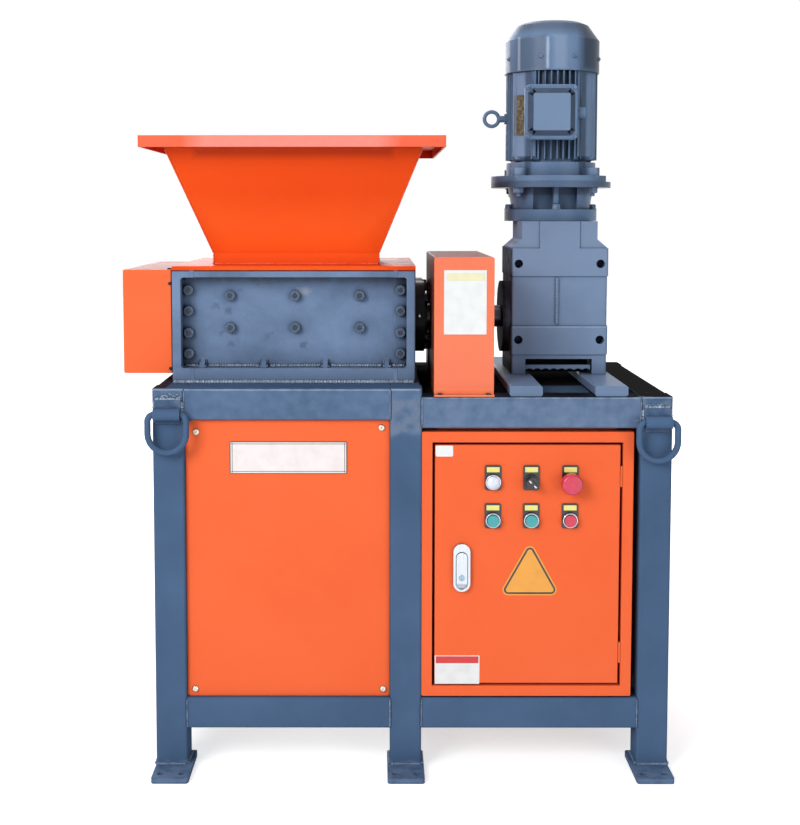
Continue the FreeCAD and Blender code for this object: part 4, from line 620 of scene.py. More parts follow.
case_paint = painted("gear case paint", *shades((0.185, 0.265, 0.410), 1.3, 0.5), cloud=(7.0, 0.5), edge=0.45,
                     edge_colour=rgb(0.24, 0.31, 0.42), hollow=0.8, hollow_colour=rgb(0.02, 0.03, 0.05),
                     roughness=(0.3, 0.45), coat=0.06, specular=0.0, bump=0.1, zones=CASE_MARKS_AND_LIGHT)
# Dark red-brown painted shade for the tops of orange parts.
TOP_SHADE_RED = (0.36, 0.085, 0.075)
ORANGE_PAINTED_SHADE = [
    # Painted shade on the gear cover's top, and a black line of painted shade along its inner front edge next
    # to the box.
    ((-565, -188, 953.8), (-462, 235, 957), 0.0015, 0.0, TOP_SHADE_RED, 0.95),
    ((-467.2, -195, 740), (-464, -186, 956), 0.0006, 0.0, (0.012, 0.006, 0.006), 1.0)
]


def orange_coat(name, base, light, dark, **own):
    """One of the orange coats: they share a fine skin, each has its own colours, edges and hollows."""
    return painted(name, rgb(*base), rgb(*light), rgb(*dark), peel=(520.0, 0.03), bump=0.04,
                   specular=0.02, **own)


orange_paint = orange_coat("orange paint", (0.92, 0.152, 0.050), (0.95, 0.178, 0.068), (0.84, 0.118, 0.034),
                           cloud=(3.0, 0.5), edge=0.3, edge_colour=rgb(1.0, 0.32, 0.16), hollow=0.35,
                           hollow_colour=rgb(0.42, 0.035, 0.01), roughness=(0.34, 0.42), coat=0.05,
                           zones=ORANGE_PAINTED_SHADE)
HOPPER_PAINTED_LIGHT = [
    # Painted light on the lower front of the hopper, a painted shadow under the lip, and painted highlights
    # along the lip.
    ((-400, -200, 955), (-60, 0, 1060), 0.09, 0.02, (0.97, 0.125, 0.018), 0.85),
    ((-420, -215, 1174), (-37, -150, 1190), 0.016, 0.0, (0.42, 0.035, 0.008), 0.6),
    ((-521, -230, 1188), (64, -220, 1214), 0.02, 0.0, (0.93, 0.20, 0.12), 0.8),
    ((-400, -230, 1188), (-60, -220, 1214), 0.08, 0.02, (0.88, 0.44, 0.40), 0.8),
    # Painted shade on the top of the base plate.
    ((-470, -186, 961.9), (-396, 235, 964), 0.0012, 0.0, TOP_SHADE_RED, 0.95),
    ((-60, -186, 961.9), (20, 300, 964), 0.0012, 0.02, (0.22, 0.03, 0.015), 0.9)
]
hopper_paint = orange_coat("hopper paint", (0.82, 0.074, 0.008), (0.88, 0.086, 0.011), (0.72, 0.056, 0.005),
                           cloud=(2.5, 0.6), edge=0.35, edge_colour=rgb(0.98, 0.26, 0.16), hollow=0.5,
                           hollow_colour=rgb(0.30, 0.02, 0.006), roughness=(0.32, 0.42), coat=0.08,
                           zones=HOPPER_PAINTED_LIGHT)
GUARD_PAINTED_LIGHT = [
    # Painted shade on the guard's top and on its left side, and a painted highlight on its foot flange.
    ((36, -260, 976), (160, 130, 990), 0.006, 0.02, (0.16, 0.035, 0.026), 0.9),
    ((41, -286, 720), (154, -271, 734), 0.004, 0.01, (1.0, 0.32, 0.12), 0.45),
    ((36, -262, 700), (46, 130, 990), 0.006, 0.02, (0.05, 0.018, 0.012), 0.9)
]
guard_paint = orange_coat("guard paint", (0.88, 0.215, 0.115), (0.92, 0.250, 0.140), (0.80, 0.170, 0.080),
                          cloud=(4.0, 0.5), edge=0.35, edge_colour=rgb(1.0, 0.32, 0.16), hollow=0.4,
                          hollow_colour=rgb(0.4, 0.03, 0.01), roughness=(0.34, 0.42), coat=0.05,
                          zones=GUARD_PAINTED_LIGHT)
# The deck is painted nearly black as painted shade; between the sole rails it is painted less dark.
DECK_PAINTED_LIGHT = [((246, -285, 712), (345, -128, 725), 0.010, 0.01, (0.062, 0.105, 0.170), 0.9)]
deck_shade_paint = painted("deck in painted shade", *shades((0.012, 0.012, 0.014), 2.0, 0.45), cloud=(12.0, 0.8), edge=0.4,
                     edge_colour=rgb(0.10, 0.11, 0.14), roughness=(0.7, 0.9), coat=0.0, bump=0.15,
                     specular=0.0, zones=DECK_PAINTED_LIGHT)
housing_black = painted("housing black", *shades((0.018, 0.021, 0.030), 2.2, 0.5), cloud=(14.0, 0.6),
                        edge=0.5, edge_colour=rgb(0.12, 0.14, 0.18), roughness=(0.35, 0.55), coat=0.1,
                        bump=0.08)
sole_paint = painted("sole rail paint", *shades((0.150, 0.220, 0.350), 1.35, 0.6), cloud=(8.0, 0.6), edge=0.5,
                     edge_colour=rgb(0.36, 0.43, 0.54), hollow=0.6, hollow_colour=rgb(0.03, 0.04, 0.06),
                     roughness=(0.36, 0.5), coat=0.1, bump=0.08)
print("painted finishes ready")

# %% [markdown]
# Bare steel is a metal with fine lines, plastic is smooth with a trace of grain.

# %% Steel and plastic
def machined(name, colour, stretch, roughness=0.32, contrast=0.35, bump=0.08):
    """Bare steel with machining lines, darker in its hollows as painted shade."""
    material, tree, shader = new_material(name)
    lines = use_group(tree, streak_group, {"Stretch": stretch, "Contrast": contrast})
    wear_and_shade = use_group(tree, wear_and_shade_group, {"Edge Radius": 0.001, "Hollow Reach": 0.02})
    bright, dark = shades(colour[:3], 1.7, 0.35)[1:]
    shaded = add_mix(tree, lines.outputs["Shade"], colour, dark)
    shaded = lay(tree, shaded, dark, wear_and_shade.outputs["Hollow"], 0.8)
    shaded = lay(tree, shaded, bright, wear_and_shade.outputs["Edge"], 0.7)
    rough = add_math(tree, "MULTIPLY_ADD", lines.outputs["Height"], 0.3, roughness - 0.15)
    finish_surface(tree, shader, shaded, rough, lines.outputs["Height"], wear_and_shade.outputs["Normal"], bump, 0.0004)
    put(tree, shader, {"Metallic": 1.0})
    return material


def moulded(name, colour, roughness=0.3, coat=0.3, grain=0.03):
    """Moulded plastic or printed foil: an even colour with a slight cloud, a fine grain and painted shade in
    its hollows.
    """
    material, tree, shader = new_material(name)
    film = use_group(tree, film_group, {
        "Base": colour, "Cloud Size": 40.0, "Cloud Strength": 0.3, "Peel Size": 1500.0, "Peel Contrast": 0.03,
        "Light": shades([c + 0.006 for c in colour[:3]], 1.2)[1], "Dark": shades(colour[:3], dark=0.7)[2]})
    wear_and_shade = use_group(tree, wear_and_shade_group, {"Edge Radius": 0.0006, "Hollow Reach": 0.008})
    shade = lay(tree, film.outputs["Color"], shades(colour[:3], dark=0.6)[2], wear_and_shade.outputs["Hollow"], 0.5)
    rough = add_ramp(tree, film.outputs["Gloss"], 0.3, 0.7, roughness - 0.05, roughness + 0.08)
    finish_surface(tree, shader, shade, rough, film.outputs["Height"], wear_and_shade.outputs["Normal"], grain, 0.0003)
    put(tree, shader, {"Coat Weight": coat, "Coat Roughness": 0.12})
    return material


cutter_steel = machined("cutter steel", rgb(0.36, 0.36, 0.37), (30.0, 500.0, 500.0), 0.42)
shaft_steel = machined("turned steel", rgb(0.10, 0.10, 0.12), (900.0, 20.0, 20.0), 0.34)
zinc_steel = machined("zinc plated steel", rgb(0.66, 0.64, 0.55), (300.0, 300.0, 60.0), 0.36, contrast=0.2)
black_screw = machined("blackened screw steel", rgb(0.06, 0.065, 0.08), (400.0, 400.0, 400.0), 0.4)
lock_metal = machined("satin lock metal", rgb(0.56, 0.61, 0.68), (300.0, 300.0, 20.0), 0.30, contrast=0.15)
lock_button = machined("lock button metal", rgb(0.30, 0.42, 0.48), (300.0, 300.0, 20.0), 0.35, contrast=0.15)
black_plastic = moulded("black plastic", rgb(0.020, 0.020, 0.024), 0.32)
green_plastic = moulded("green plastic", rgb(0.03, 0.36, 0.38), 0.22)
red_plastic = moulded("red plastic", rgb(0.62, 0.025, 0.075), 0.24)
lamp_plastic = moulded("white lamp plastic", rgb(0.74, 0.79, 0.90), 0.2)
yellow_label = moulded("yellow label", rgb(0.84, 0.78, 0.22), 0.35)
white_label = moulded("white label", rgb(0.80, 0.82, 0.82), 0.4)
name_plate_finish = moulded("name plate foil", rgb(0.84, 0.78, 0.77), 0.35)
cream_label = moulded("cream label", rgb(0.80, 0.76, 0.48), 0.4)
red_label = moulded("red label", rgb(0.66, 0.03, 0.03), 0.4)
dark_label = moulded("dark label", rgb(0.025, 0.022, 0.02), 0.4)
amber_label = moulded("amber label", rgb(0.84, 0.36, 0.04), 0.35)
worn_plate = painted("worn plate", rgb(0.13, 0.10, 0.06), rgb(0.38, 0.33, 0.22), rgb(0.03, 0.025, 0.02),
                     cloud=(160.0, 1.0), peel=(900.0, 0.5), edge=0.4, roughness=(0.3, 0.5), bump=0.2)
drive_bolt = painted("painted bolt", *shades((0.13, 0.20, 0.33), 1.7, 0.5), cloud=(60.0, 0.5), edge=0.7,
                     edge_colour=rgb(0.42, 0.50, 0.62), hollow=0.8, roughness=(0.25, 0.4), coat=0.3)
# A darker copy of the box paint, as painted shade on the screw heads.
shaded_box_screw = painted("socket screw paint in painted shade", *shades((0.085, 0.125, 0.20), 1.8, 0.45), cloud=(90.0, 0.5),
                    edge=0.9, edge_colour=rgb(0.40, 0.48, 0.58), hollow=1.0,
                    hollow_colour=rgb(0.012, 0.016, 0.024), reach=0.012, roughness=(0.25, 0.4), coat=0.2,
                    edge_radius=0.0012)
weld_metal = painted("painted weld", *shades((0.105, 0.165, 0.280), 2.2, 0.5), cloud=(45.0, 0.9), edge=0.6,
                     edge_colour=rgb(0.40, 0.47, 0.58), roughness=(0.2, 0.36), coat=0.4, bump=0.25)
# A lighter copy of the weld paint, as painted highlights on the beads of the box base and the ring brackets.
weld_highlighted = painted("weld with painted highlights", *shades((0.24, 0.31, 0.42), 1.8, 0.5), cloud=(70.0, 0.9), edge=0.6,
                      edge_colour=rgb(0.55, 0.62, 0.70), hollow=0.3, roughness=(0.2, 0.36), coat=0.4,
                      bump=0.25)
weld_orange = painted("painted orange weld", rgb(0.86, 0.10, 0.03), rgb(0.98, 0.24, 0.12),
                      rgb(0.60, 0.05, 0.01), cloud=(45.0, 0.7), edge=0.4, roughness=(0.25, 0.4), coat=0.3,
                      bump=0.15)
print("steel and plastic ready")

# %% [markdown]
# ## Finishes on the frame's pieces
# Each frame piece keeps its shape and takes the finish of what it is. The crushing box
# has a cloudier, lighter coat than the stand, so its plates take their own paint. The deck
# takes a near-black paint as painted shade.

# %% Assigning the finishes
slot_finish = {
    "frame_paint": frame_paint, "deck_black": deck_shade_paint, "orange_paint": orange_paint,
    "drive_paint": drive_paint, "housing_black": housing_black, "cutter_steel": cutter_steel,
    "shaft_steel": shaft_steel, "lock_chrome": lock_metal, "black_plastic": black_plastic,
    "green_plastic": green_plastic, "red_plastic": red_plastic, "white_plastic": lamp_plastic,
}
own_finish = {name: box_paint for name in ("left_end_plate", "right_end_plate", "front_wall", "back_wall")}
own_finish.update(sole_rails=sole_paint, gear_case=case_paint, hopper=hopper_paint,
                  coupling_guard=guard_paint)
node_slot = {entry["node"]: entry["material_slot"] for entry in frame["record"]["subparts"]}
for name, node in frame["nodes"].items():
    finish = own_finish.get(name, slot_finish[node_slot[name]])
    node.data.materials.clear()
    node.data.materials.append(finish)
print("finished", len(frame["nodes"]), "frame pieces")

# %% [markdown]
# ## Bolts and screws
# A socket head screw is a short cylinder with a six-sided hole. One revolved profile
# gives both: the rows of the hole take the hexagon's radius instead of the circle's.
# Pan heads are pressed domes, and hexagon heads stand on a washer.

# %% Screw heads
def socket_screw(place, direction, diameter=0.020, height=0.011):
    """Socket head: outer rows round, inner rows six-sided down into the hole."""
    r, h = diameter / 2, height
    socket = r * 0.46
    profile = [(0, 0), (r, 0), (r, h * 0.9), (r * 0.92, h), (socket * 1.3, h), (socket, h * 0.97),
               (socket, h * 0.35), (0, h * 0.3)]
    return lathe(profile, place, direction, 24, hexagon(len(profile), [5, 6]))


def pan_screw(place, direction, diameter=0.010, height=0.0035):
    """Domed head with a small round dimple in the middle."""
    r = diameter / 2
    profile = [(0, 0), (r, 0), (r * 0.97, height * 0.4), (r * 0.8, height * 0.8), (r * 0.45, height),
               (r * 0.3, height * 0.95), (r * 0.22, height * 0.55), (0, height * 0.5)]
    return lathe(profile, place, direction, 20)


def hex_bolt(place, direction, across=0.017, height=0.008, washer=0.002, stub=0.0):
    """Washer, six-sided head with a chamfered top, and the bolt's end where it is a nut."""
    r = across / 2
    wide = r * 1.28
    top = washer + height
    profile = [(0, 0), (wide, 0), (wide, washer), (r, washer), (r, washer + height * 0.8),
               (r * 0.86, top), (r * 0.5, top), (r * 0.5, top + stub), (0, top + stub)]
    return lathe(profile, place, direction, 24, hexagon(len(profile), [3, 4]))


OUT, BACK, LEFT, RIGHT, UP, DOWN = (0, -1, 0), (0, 1, 0), (-1, 0, 0), (1, 0, 0), (0, 0, 1), (0, 0, -1)
print("screw shapes ready")

# %% [markdown]
# The crushing box is screwed together through its thick plates. Four screws stand in a
# column at each end of the sunk front and six more hold the wall between them. The back
# is the same.

# %% Screws of the crushing box
box_low, box_high = limits("left_end_plate")
RECESS = 35.0
recess_y = {OUT: box_low[1] / MM + RECESS, BACK: box_high[1] / MM - RECESS}
box_places = [(x, z) for x in (-436.5, -20.8) for z in (914, 873, 830, 789)]
box_places += [(x, z) for x in (-354.7, -227.4, -100.7) for z in (903, 840)]
for name, side in (("box_screws_front", OUT), ("box_screws_back", BACK)):
    heads = [socket_screw(at(x, recess_y[side], z), side) for x, z in box_places]
    make_piece(name, heads, shaded_box_screw, "machine")
    # Dark discs fill the sockets as their painted shade.
    socket_shade_plugs = [lathe([(0, 3.9 * MM), (4.5 * MM, 3.9 * MM), (4.5 * MM, 9.9 * MM), (0, 9.9 * MM)],
                   at(x, recess_y[side], z), side, 12) for x, z in box_places]
    make_piece(name + "_socket_shade", socket_shade_plugs, black_screw, "machine")
print("box screws:", 2 * len(box_places))

# %% [markdown]
# The walls are welded to the end plates and ground flush, so the joints don't show. Thin
# fillers close the four grooves on each side.

# %% Ground joints of the rim
JOINT_STRIP = np.array([(-4, 0.25), (4, 0.25), (4, -2.6), (-4, -2.6)]) * MM
fillers = []
for x in (-426.1, -30.9):
    for low, high in ((735.5, 763), (940, 953.5)):
        for y, out in ((-195, -1), (275, 1)):
            fillers.append(prism_bar(JOINT_STRIP, at(x, y, low), at(x, y, high), (0, out, 0)))
make_piece("ground_joints", fillers, joint_paint, "machine", smooth=False)
print("ground joints:", len(fillers))

# %% [markdown]
# The sheet panels and the gear cover are held by pan heads, zinc plated on the panels and
# dark on the cover.

# %% Screws of the panels and the cover
PANEL_HEAD, COVER_HEAD = (0.013, 0.004), (0.0064, 0.003)
panel_screws = [pan_screw(at(x, -275, z), OUT, *PANEL_HEAD)
                for x, z in ((-409, 652), (-58, 660), (-415, 154), (-55, 154))]
panel_screws += [pan_screw(at(x, 275, z), BACK, *PANEL_HEAD) for x in (36, 412) for z in (156, 644)]
for x, side, top in ((-480, LEFT, 658), (480, RIGHT, 644)):
    panel_screws += [pan_screw(at(x, y, z), side, *PANEL_HEAD) for y in (-207, 207) for z in (156, top)]
make_piece("panel_screws", panel_screws, zinc_steel, "machine")
cover_screws = [pan_screw(at(-469.5, y, z), side, *COVER_HEAD)
                for y, side in ((-190, OUT), (230, BACK)) for z in (928, 762)]
cover_screws += [pan_screw(at(-473, y, 955), UP, 0.008, 0.003) for y in (-170, 20, 210)]
guard_screws = [pan_screw(at(x, -278, 723), UP, 0.009, 0.0035) for x in (52, 143)]
make_piece("cover_screws", cover_screws + guard_screws, black_screw, "machine")
print("panel screws:", len(panel_screws), "cover screws:", len(cover_screws))

# %% [markdown]
# The bearing housings are drawn up by hexagon bolts on a circle, with a grease nipple on
# the front one. The motor's flange and the case's input flange are bolted the same way.

# %% Bolts of the housings and the motor
def bolt_circle(middle, direction, radius, angles, lift=0.0, **sizes):
    """Bolts at angles round an axis: middle plus radius times cosine and sine."""
    d, side, up = frame_of(direction)
    spots = [np.asarray(middle) + lift * d + radius * (math.cos(a) * side + math.sin(a) * up)
             for a in np.radians(angles)]
    return [hex_bolt(spot, direction, **sizes) for spot in spots]


SHAFT_Z, FRONT_SHAFT_Y, REAR_SHAFT_Y = 852, -25, 105
MOTOR_X, MOTOR_Y = 299.5, 45
CORNER_ANGLES = (45, 135, 225, 315)
housing_bolts = []
for x, side in ((30, RIGHT), (-487, LEFT)):
    for y, tilt in ((FRONT_SHAFT_Y, 1), (REAR_SHAFT_Y, -1)):
        angles = [a for a in (40, 90, 140, 220, 270, 320)
                  if tilt * side[0] * math.cos(math.radians(a)) < 0.5 or side == LEFT]
        housing_bolts += bolt_circle(at(x, y, SHAFT_Z), side, 0.0605, angles, across=0.015, height=0.008)
make_piece("housing_bolts", housing_bolts, black_screw, "machine")
flange_bolts = bolt_circle(at(MOTOR_X, MOTOR_Y, 1129), UP, 0.1075, CORNER_ANGLES, across=0.019, height=0.010)
flange_bolts += bolt_circle(at(MOTOR_X, MOTOR_Y, 1117), DOWN, 0.1075, CORNER_ANGLES, across=0.019,
                            height=0.010, stub=0.006)
flange_bolts += bolt_circle(at(MOTOR_X, MOTOR_Y, 1072), UP, 0.088, (0, 90, 180, 270), across=0.015,
                            height=0.009)
make_piece("flange_bolts", flange_bolts, drive_bolt, "machine")
nipple = np.array([(0, 0), (4.2, 0), (4.2, 3), (2.6, 4), (2.4, 7), (3.2, 8.5), (2.6, 10.5), (0, 11)]) * MM
nipples = [lathe(nipple, at(19, y, 858), side, 20) for y, side in ((-97, OUT), (177, BACK))]
make_piece("grease_nipples", nipples, zinc_steel, "machine")
print("housing bolts:", len(housing_bolts), "flange bolts:", len(flange_bolts))

# %% [markdown]
# The terminal box lid has a bevel round its raised middle, painted dark as painted shade:
# an octagon whose slope is one outline drawn in while it rises. A screw sits in each corner,
# and the cowl is held by screws round its lower edge.

# %% Small screws of the motor
LID_X, LID_Y, LID_Z = 282.5, -87.3, 1266.5
LID_SCREW_X, LID_SCREW_Z = 47, 48.5
COWL_RADIUS, COWL_SCREW_Z = 98.3, 1382
motor_screws = [pan_screw(at(LID_X + sx * LID_SCREW_X, LID_Y, LID_Z + sz * LID_SCREW_Z), OUT, 0.0085, 0.0035)
                for sx in (-1, 1) for sz in (-1, 1)]
wide, flat = 47.0, 38.0
octagon = np.array([(wide, -flat), (wide, flat), (flat, wide), (-flat, wide), (-wide, flat),
                    (-wide, -flat), (-flat, -wide), (flat, -wide)]) * MM
rows = laid(outline_of(octagon, 0.001, 3), (0, 0, 0.0097, 0.0097), (-0.0005, 0.0006, 0.0072, -0.0005),
            at(LID_X, LID_Y, LID_Z), (1, 0, 0), (0, 0, 1))
lid_bevel = [(rows.reshape(-1, 3), grid_faces(4, rows.shape[1], wrap_rows=True, wrap_columns=True))]
make_piece("lid_bevel", lid_bevel, bevel_shade_paint, "machine")
for angle in np.radians((20, 70, 110, 160, 250, 290)):
    away = np.array([math.cos(angle), -math.sin(angle), 0])
    spot = at(MOTOR_X, MOTOR_Y, COWL_SCREW_Z) + COWL_RADIUS * MM * away
    motor_screws.append(pan_screw(spot, away, 0.009, 0.004))
make_piece("motor_screws", motor_screws, drive_bolt, "machine")
print("motor screws:", len(motor_screws))

# %% [markdown]
# A cast gear case keeps the line where its mould parted. It is a low ridge down the middle
# of the front. A black clamping collar sits on the output shaft beside the guard.

# %% Parting line and clamping collar
RIDGE_X, RIDGE_Y, RIDGE_LOW, RIDGE_TOP = 295, -105.9, 841, 936
ridge = [ball_bar(at(RIDGE_X + dx, RIDGE_Y, RIDGE_LOW), at(RIDGE_X + dx, RIDGE_Y, RIDGE_TOP), radius * MM,
                  ripple=0.25, pitch=0.007, flatten=0.4, around=8, up=OUT)
         for dx, radius in ((-1.2, 2.4), (1.6, 1.3))]
make_piece("parting_line", ridge, case_paint, "machine")
collar = np.array([(0, 0), (20, 0), (20, 3), (27, 4), (28, 5), (28, 14), (27, 15), (0, 15)]) * MM
make_piece("clamp_collar", [lathe(collar, at(156, FRONT_SHAFT_Y, SHAFT_Z), RIGHT, 48)], black_screw,
           "front_rotor")
print("ridge bars:", len(ridge))

# %% [markdown]
# ## Welds
# A hand-laid weld is a row of overlapping steps, with small drops thrown beside it. The
# bead is a bar whose radius waves along its length, pressed flat into the corner.

# %% Weld beads of the stand and the box
def bead(x0, y0, z0, x1, y1, z1, radius=3.4, pitch=0.0055, ripple=0.2):
    """A weld bead between two points, all in millimetres but its pitch."""
    return ball_bar(at(x0, y0, z0), at(x1, y1, z1), radius * MM, ripple=ripple, pitch=pitch, around=8)


base_welds = [bead(-464, -196.5, 736, 7, -196.5, 736, 4.6), bead(-464, 276.5, 736, 7, 276.5, 736, 4.6)]
LEG_X, LEG_Y = (-460, -12, 460), (-255, 255)
FOOT_TOP, LEG_HALF, WELD_OUT = 10.5, 30, 30.6
stand_welds = []
for x in LEG_X:
    for y in LEG_Y:
        for s in (-1, 1):
            edge_x, edge_y = x + s * WELD_OUT, y + s * WELD_OUT
            stand_welds.append(bead(x - LEG_HALF, edge_y, FOOT_TOP, x + LEG_HALF, edge_y, FOOT_TOP, 3.0))
            stand_welds.append(bead(edge_x, y - LEG_HALF, FOOT_TOP, edge_x, y + LEG_HALF, FOOT_TOP, 3.0))
for x, low, high in ((-430, 675, 735), (-42, 675, 735), (18, 660, 720), (430, 660, 720)):
    for y in (-285.4, 285.4):
        stand_welds.append(bead(x, y, low + 2, x, y, high - 2, 1.5, 0.004, 0.3))
        stand_welds.append(bead(x, y, 82, x, y, 138, 1.5, 0.004, 0.3))
stand_welds += [bead(x, -284, 674, x - math.copysign(14, x), -284, 674, 2.2) for x in (-430, 430)]
make_piece("stand_welds", stand_welds, weld_metal, "machine")

GUSSET_X = (-414, -293.3, -172.7, -52)
box_welds = []
for x in GUSSET_X:
    for edge in (x - 1.5, x + 10.5):
        box_welds.append(bead(edge, -161, 764.5, edge, -181, 764.5, 2.0, 0.003, 0.3))
        box_welds.append(bead(edge, -161.5, 764, edge, -161.5, 778, 1.8, 0.003, 0.3))
        box_welds.append(bead(edge, 241, 764.5, edge, 261, 764.5, 2.0, 0.003, 0.3))
for start, end in ((-446, -418), (-400, -297), (-279, -176), (-159, -56), (-38, -12)):
    base_welds.append(bead(start, -162, 764.5, end, -162, 764.5, 2.8, 0.005, 0.35))
make_piece("base_welds", base_welds, weld_highlighted, "machine")
spots = [at(x + dx, -172, 764) for x in GUSSET_X for dx in (-6, 4, 15)] * 4
box_welds += spatter(spots, 0.0022, 5, np.array([0.012, 0.009, 0.0008]))
spots = [at(x, -210, 735) for x in range(-455, 10, 12)]
box_welds += spatter(spots, 0.0016, 7, np.array([0.008, 0.012, 0.0005]))
make_piece("box_welds", box_welds, weld_metal, "machine")
print("stand beads:", len(stand_welds), "box beads:", len(box_welds))

# %% [markdown]
# The ring brackets are welded to the posts all round, roughly, with the odd run and drop.

# %% Welds of the ring brackets
BRACKET_TOPS = ((-460, 714.5), (460, 699.5))
bracket_welds = []
for x, top in BRACKET_TOPS:
    for y, out in ((-285, -1), (285, 1)):
        face = y + out * 1.2
        bracket_welds.append(bead(x - 25, face, top + 0.5, x + 25, face, top + 0.5, 3.2, 0.006, 0.3))
        for s in (-1, 1):
            edge = x + s * 25.8
            bracket_welds.append(bead(edge, face, top - 44, edge, face, top - 2, 2.8, 0.006, 0.3))
        spots = [at(x + d, y, top + 5) for d in range(-24, 25, 4)]
        bracket_welds += spatter(spots, 0.0018, 500 + x, np.array([0.004, 0.0005, 0.004]))
random = np.random.default_rng(21)
for x, top in BRACKET_TOPS:
    for turn in range(7):
        across, lift = random.uniform(-24, 16), random.uniform(2, 12)
        bracket_welds.append(bead(x + across, -285.2, top + lift, x + across + random.uniform(4, 11), -285.2,
                                  top + lift + random.uniform(-4, 4), 1.3, 0.003, 0.4))
make_piece("bracket_welds", bracket_welds, weld_highlighted, "machine")
print("bracket beads:", len(bracket_welds))

# %% [markdown]
# The hopper is folded and welded sheet: a thin bead runs down each sloping corner, and a
# flatter one joins the neck to the base plate.

# %% Seams of the hopper
def ring_corners(centre_x, centre_y, z, length, width):
    """The four corners of a level rectangle, in turn."""
    return [(centre_x + sx * length / 2, centre_y + sy * width / 2, z)
            for sx, sy in ((-1, -1), (1, -1), (1, 1), (-1, 1))]


HOPPER_X, HOPPER_Y = -228.5, 40.0
neck_low = ring_corners(HOPPER_X, HOPPER_Y, 963, 331, 290)
neck_top = ring_corners(HOPPER_X, HOPPER_Y, 984, 331, 290)
mouth = ring_corners(HOPPER_X, HOPPER_Y, 1189, 499, 440)
seams = [bead(*low, *high, 1.3, 0.005, 0.15) for low, high in zip(neck_top, mouth)]
seams += [bead(*low, *high, 1.3, 0.005, 0.15) for low, high in zip(neck_low, neck_top)]
seams += [bead(*start, *end, 2.4, 0.006, 0.2) for start, end in zip(neck_low, neck_low[1:] + neck_low[:1])]
make_piece("hopper_seams", seams, weld_orange, "machine")
print("hopper seams:", len(seams))

# %% [markdown]
# ## Control panel
# Each operator has a small yellow legend plate with a dark edge, and the push-buttons
# have a bright ring. Legends and labels stay blank here.

# %% Operator details
OPERATOR_X, UPPER_ROW, LOWER_ROW = (152.5, 225, 298.5), 558, 485
LEGEND_RISE = 23.5
HOLDER_Y, BEZEL_Y = -284, -290
legends, legend_edges = [], []
for x in OPERATOR_X:
    for z in (UPPER_ROW, LOWER_ROW):
        place = at(x, HOLDER_Y, z + LEGEND_RISE)
        outline = rectangle(0.026, 0.0115, 0.0008)
        legends.append(plate(outline, place, (1, 0, 0), (0, 0, 1), 0.0008))
        legend_edges.append(border(outline, place, (1, 0, 0), (0, 0, 1), -0.0001, 0.0009, 0.0011))
make_piece("operator_legends", legends, yellow_label, "door")
make_piece("legend_edges", legend_edges, dark_label, "door")
bright = [torus(at(x, BEZEL_Y - 0.2, LOWER_ROW), OUT, 0.0128, 0.0015, 0.8) for x in OPERATOR_X]
bright.append(torus(at(OPERATOR_X[0], BEZEL_Y - 0.2, UPPER_ROW), OUT, 0.0132, 0.0014, 0.8))
make_piece("button_rims", bright, lock_metal, "door")
knob = at(OPERATOR_X[1], -308, UPPER_ROW)
tilt = np.array([-math.sqrt(0.5), 0, math.sqrt(0.5)])
across = np.array([math.sqrt(0.5), 0, math.sqrt(0.5)])
marks = [plate(rectangle(0.0028, 0.0062, 0.0008), knob + s * 0.0066 * tilt, across, tilt, 0.0005)
         for s in (-1, 1)]
make_piece("selector_marks", marks, white_label, "selector")
print("legends:", len(legends), "bright rims:", len(bright))

# %% [markdown]
# The lever lock has a round release button near its lower end and a small raised rim.

# %% Lock details
release = np.array([(0, 0), (5.6, 0), (5.6, 0.5), (5.0, 1.3), (4.2, 1.5), (0, 1.2)]) * MM
make_piece("lock_button", [lathe(release, at(94, -291, 375), OUT, 28)], lock_button, "handle")
print("lock details ready")

# %% [markdown]
# ## Plates and stickers
# The name plate, the warning triangle and the labels are shown blank: their borders and
# colours are part of the look, and nothing is printed on them.

# %% Blank plates
ACROSS, UPWARD = (1, 0, 0), (0, 0, 1)


def flat_label(name, x0, x1, z0, z1, y, material, body, thickness=0.6, corner=1.5):
    """Thin plate between two corners in millimetres on a front face."""
    middle = at((x0 + x1) / 2, y, (z0 + z1) / 2)
    outline = rectangle((x1 - x0) * MM, (z1 - z0) * MM, corner * MM)
    part = plate(outline, middle, ACROSS, UPWARD, thickness * MM, 0.0001)
    make_piece(name, [part], material, body)
    return outline, middle


outline, middle = flat_label("name_plate", -345, -124, 572, 633, -275, name_plate_finish, "machine", 0.9, 2)
edge_line = [border(outline, middle, ACROSS, UPWARD, -0.0002, 0.0011, 0.0013),
             border(outline, middle, ACROSS, UPWARD, 0.0036, 0.0009, 0.0012)]
make_piece("name_plate_lines", edge_line, dark_label, "machine")
flat_label("door_label", 44, 77, 606, 627, -282, white_label, "door", 0.4, 3)
flat_label("door_sticker", 43.5, 129, 166.5, 222, -282, white_label, "door", 0.3, 1)
flat_label("door_sticker_band", 45.5, 127, 207, 220.5, -282.3, red_label, "door", 0.2, 0.8)
flat_label("guard_sticker", 59.2, 139.4, 836.5, 957.7, -272, white_label, "machine", 0.3, 1)
flat_label("guard_sticker_band", 64, 135, 938, 952, -272.3, cream_label, "machine", 0.2, 0.8)

corners = np.array([(283, 339), (223.5, 446), (164, 339)]) * MM
centre = corners.mean(0)
triangle = outline_of(corners - centre, 0.011)
middle = at(centre[0] / MM, -282, centre[1] / MM)
parts = [plate(triangle, middle, ACROSS, UPWARD, 0.0005, 0.0001)]
make_piece("warning_triangle", parts, amber_label, "door")
parts = [border(triangle, middle, ACROSS, UPWARD, 0.0028, 0.0034, 0.0008)]
make_piece("warning_triangle_line", parts, dark_label, "door")
print("plates ready")

# %% [markdown]
# The motor carries a small worn plate, blank here, on the pad beside its terminal box.
# Between the gear case's feet a cast bar with a scalloped lower edge shows in the arch, and
# a dark plate behind it is painted shade.

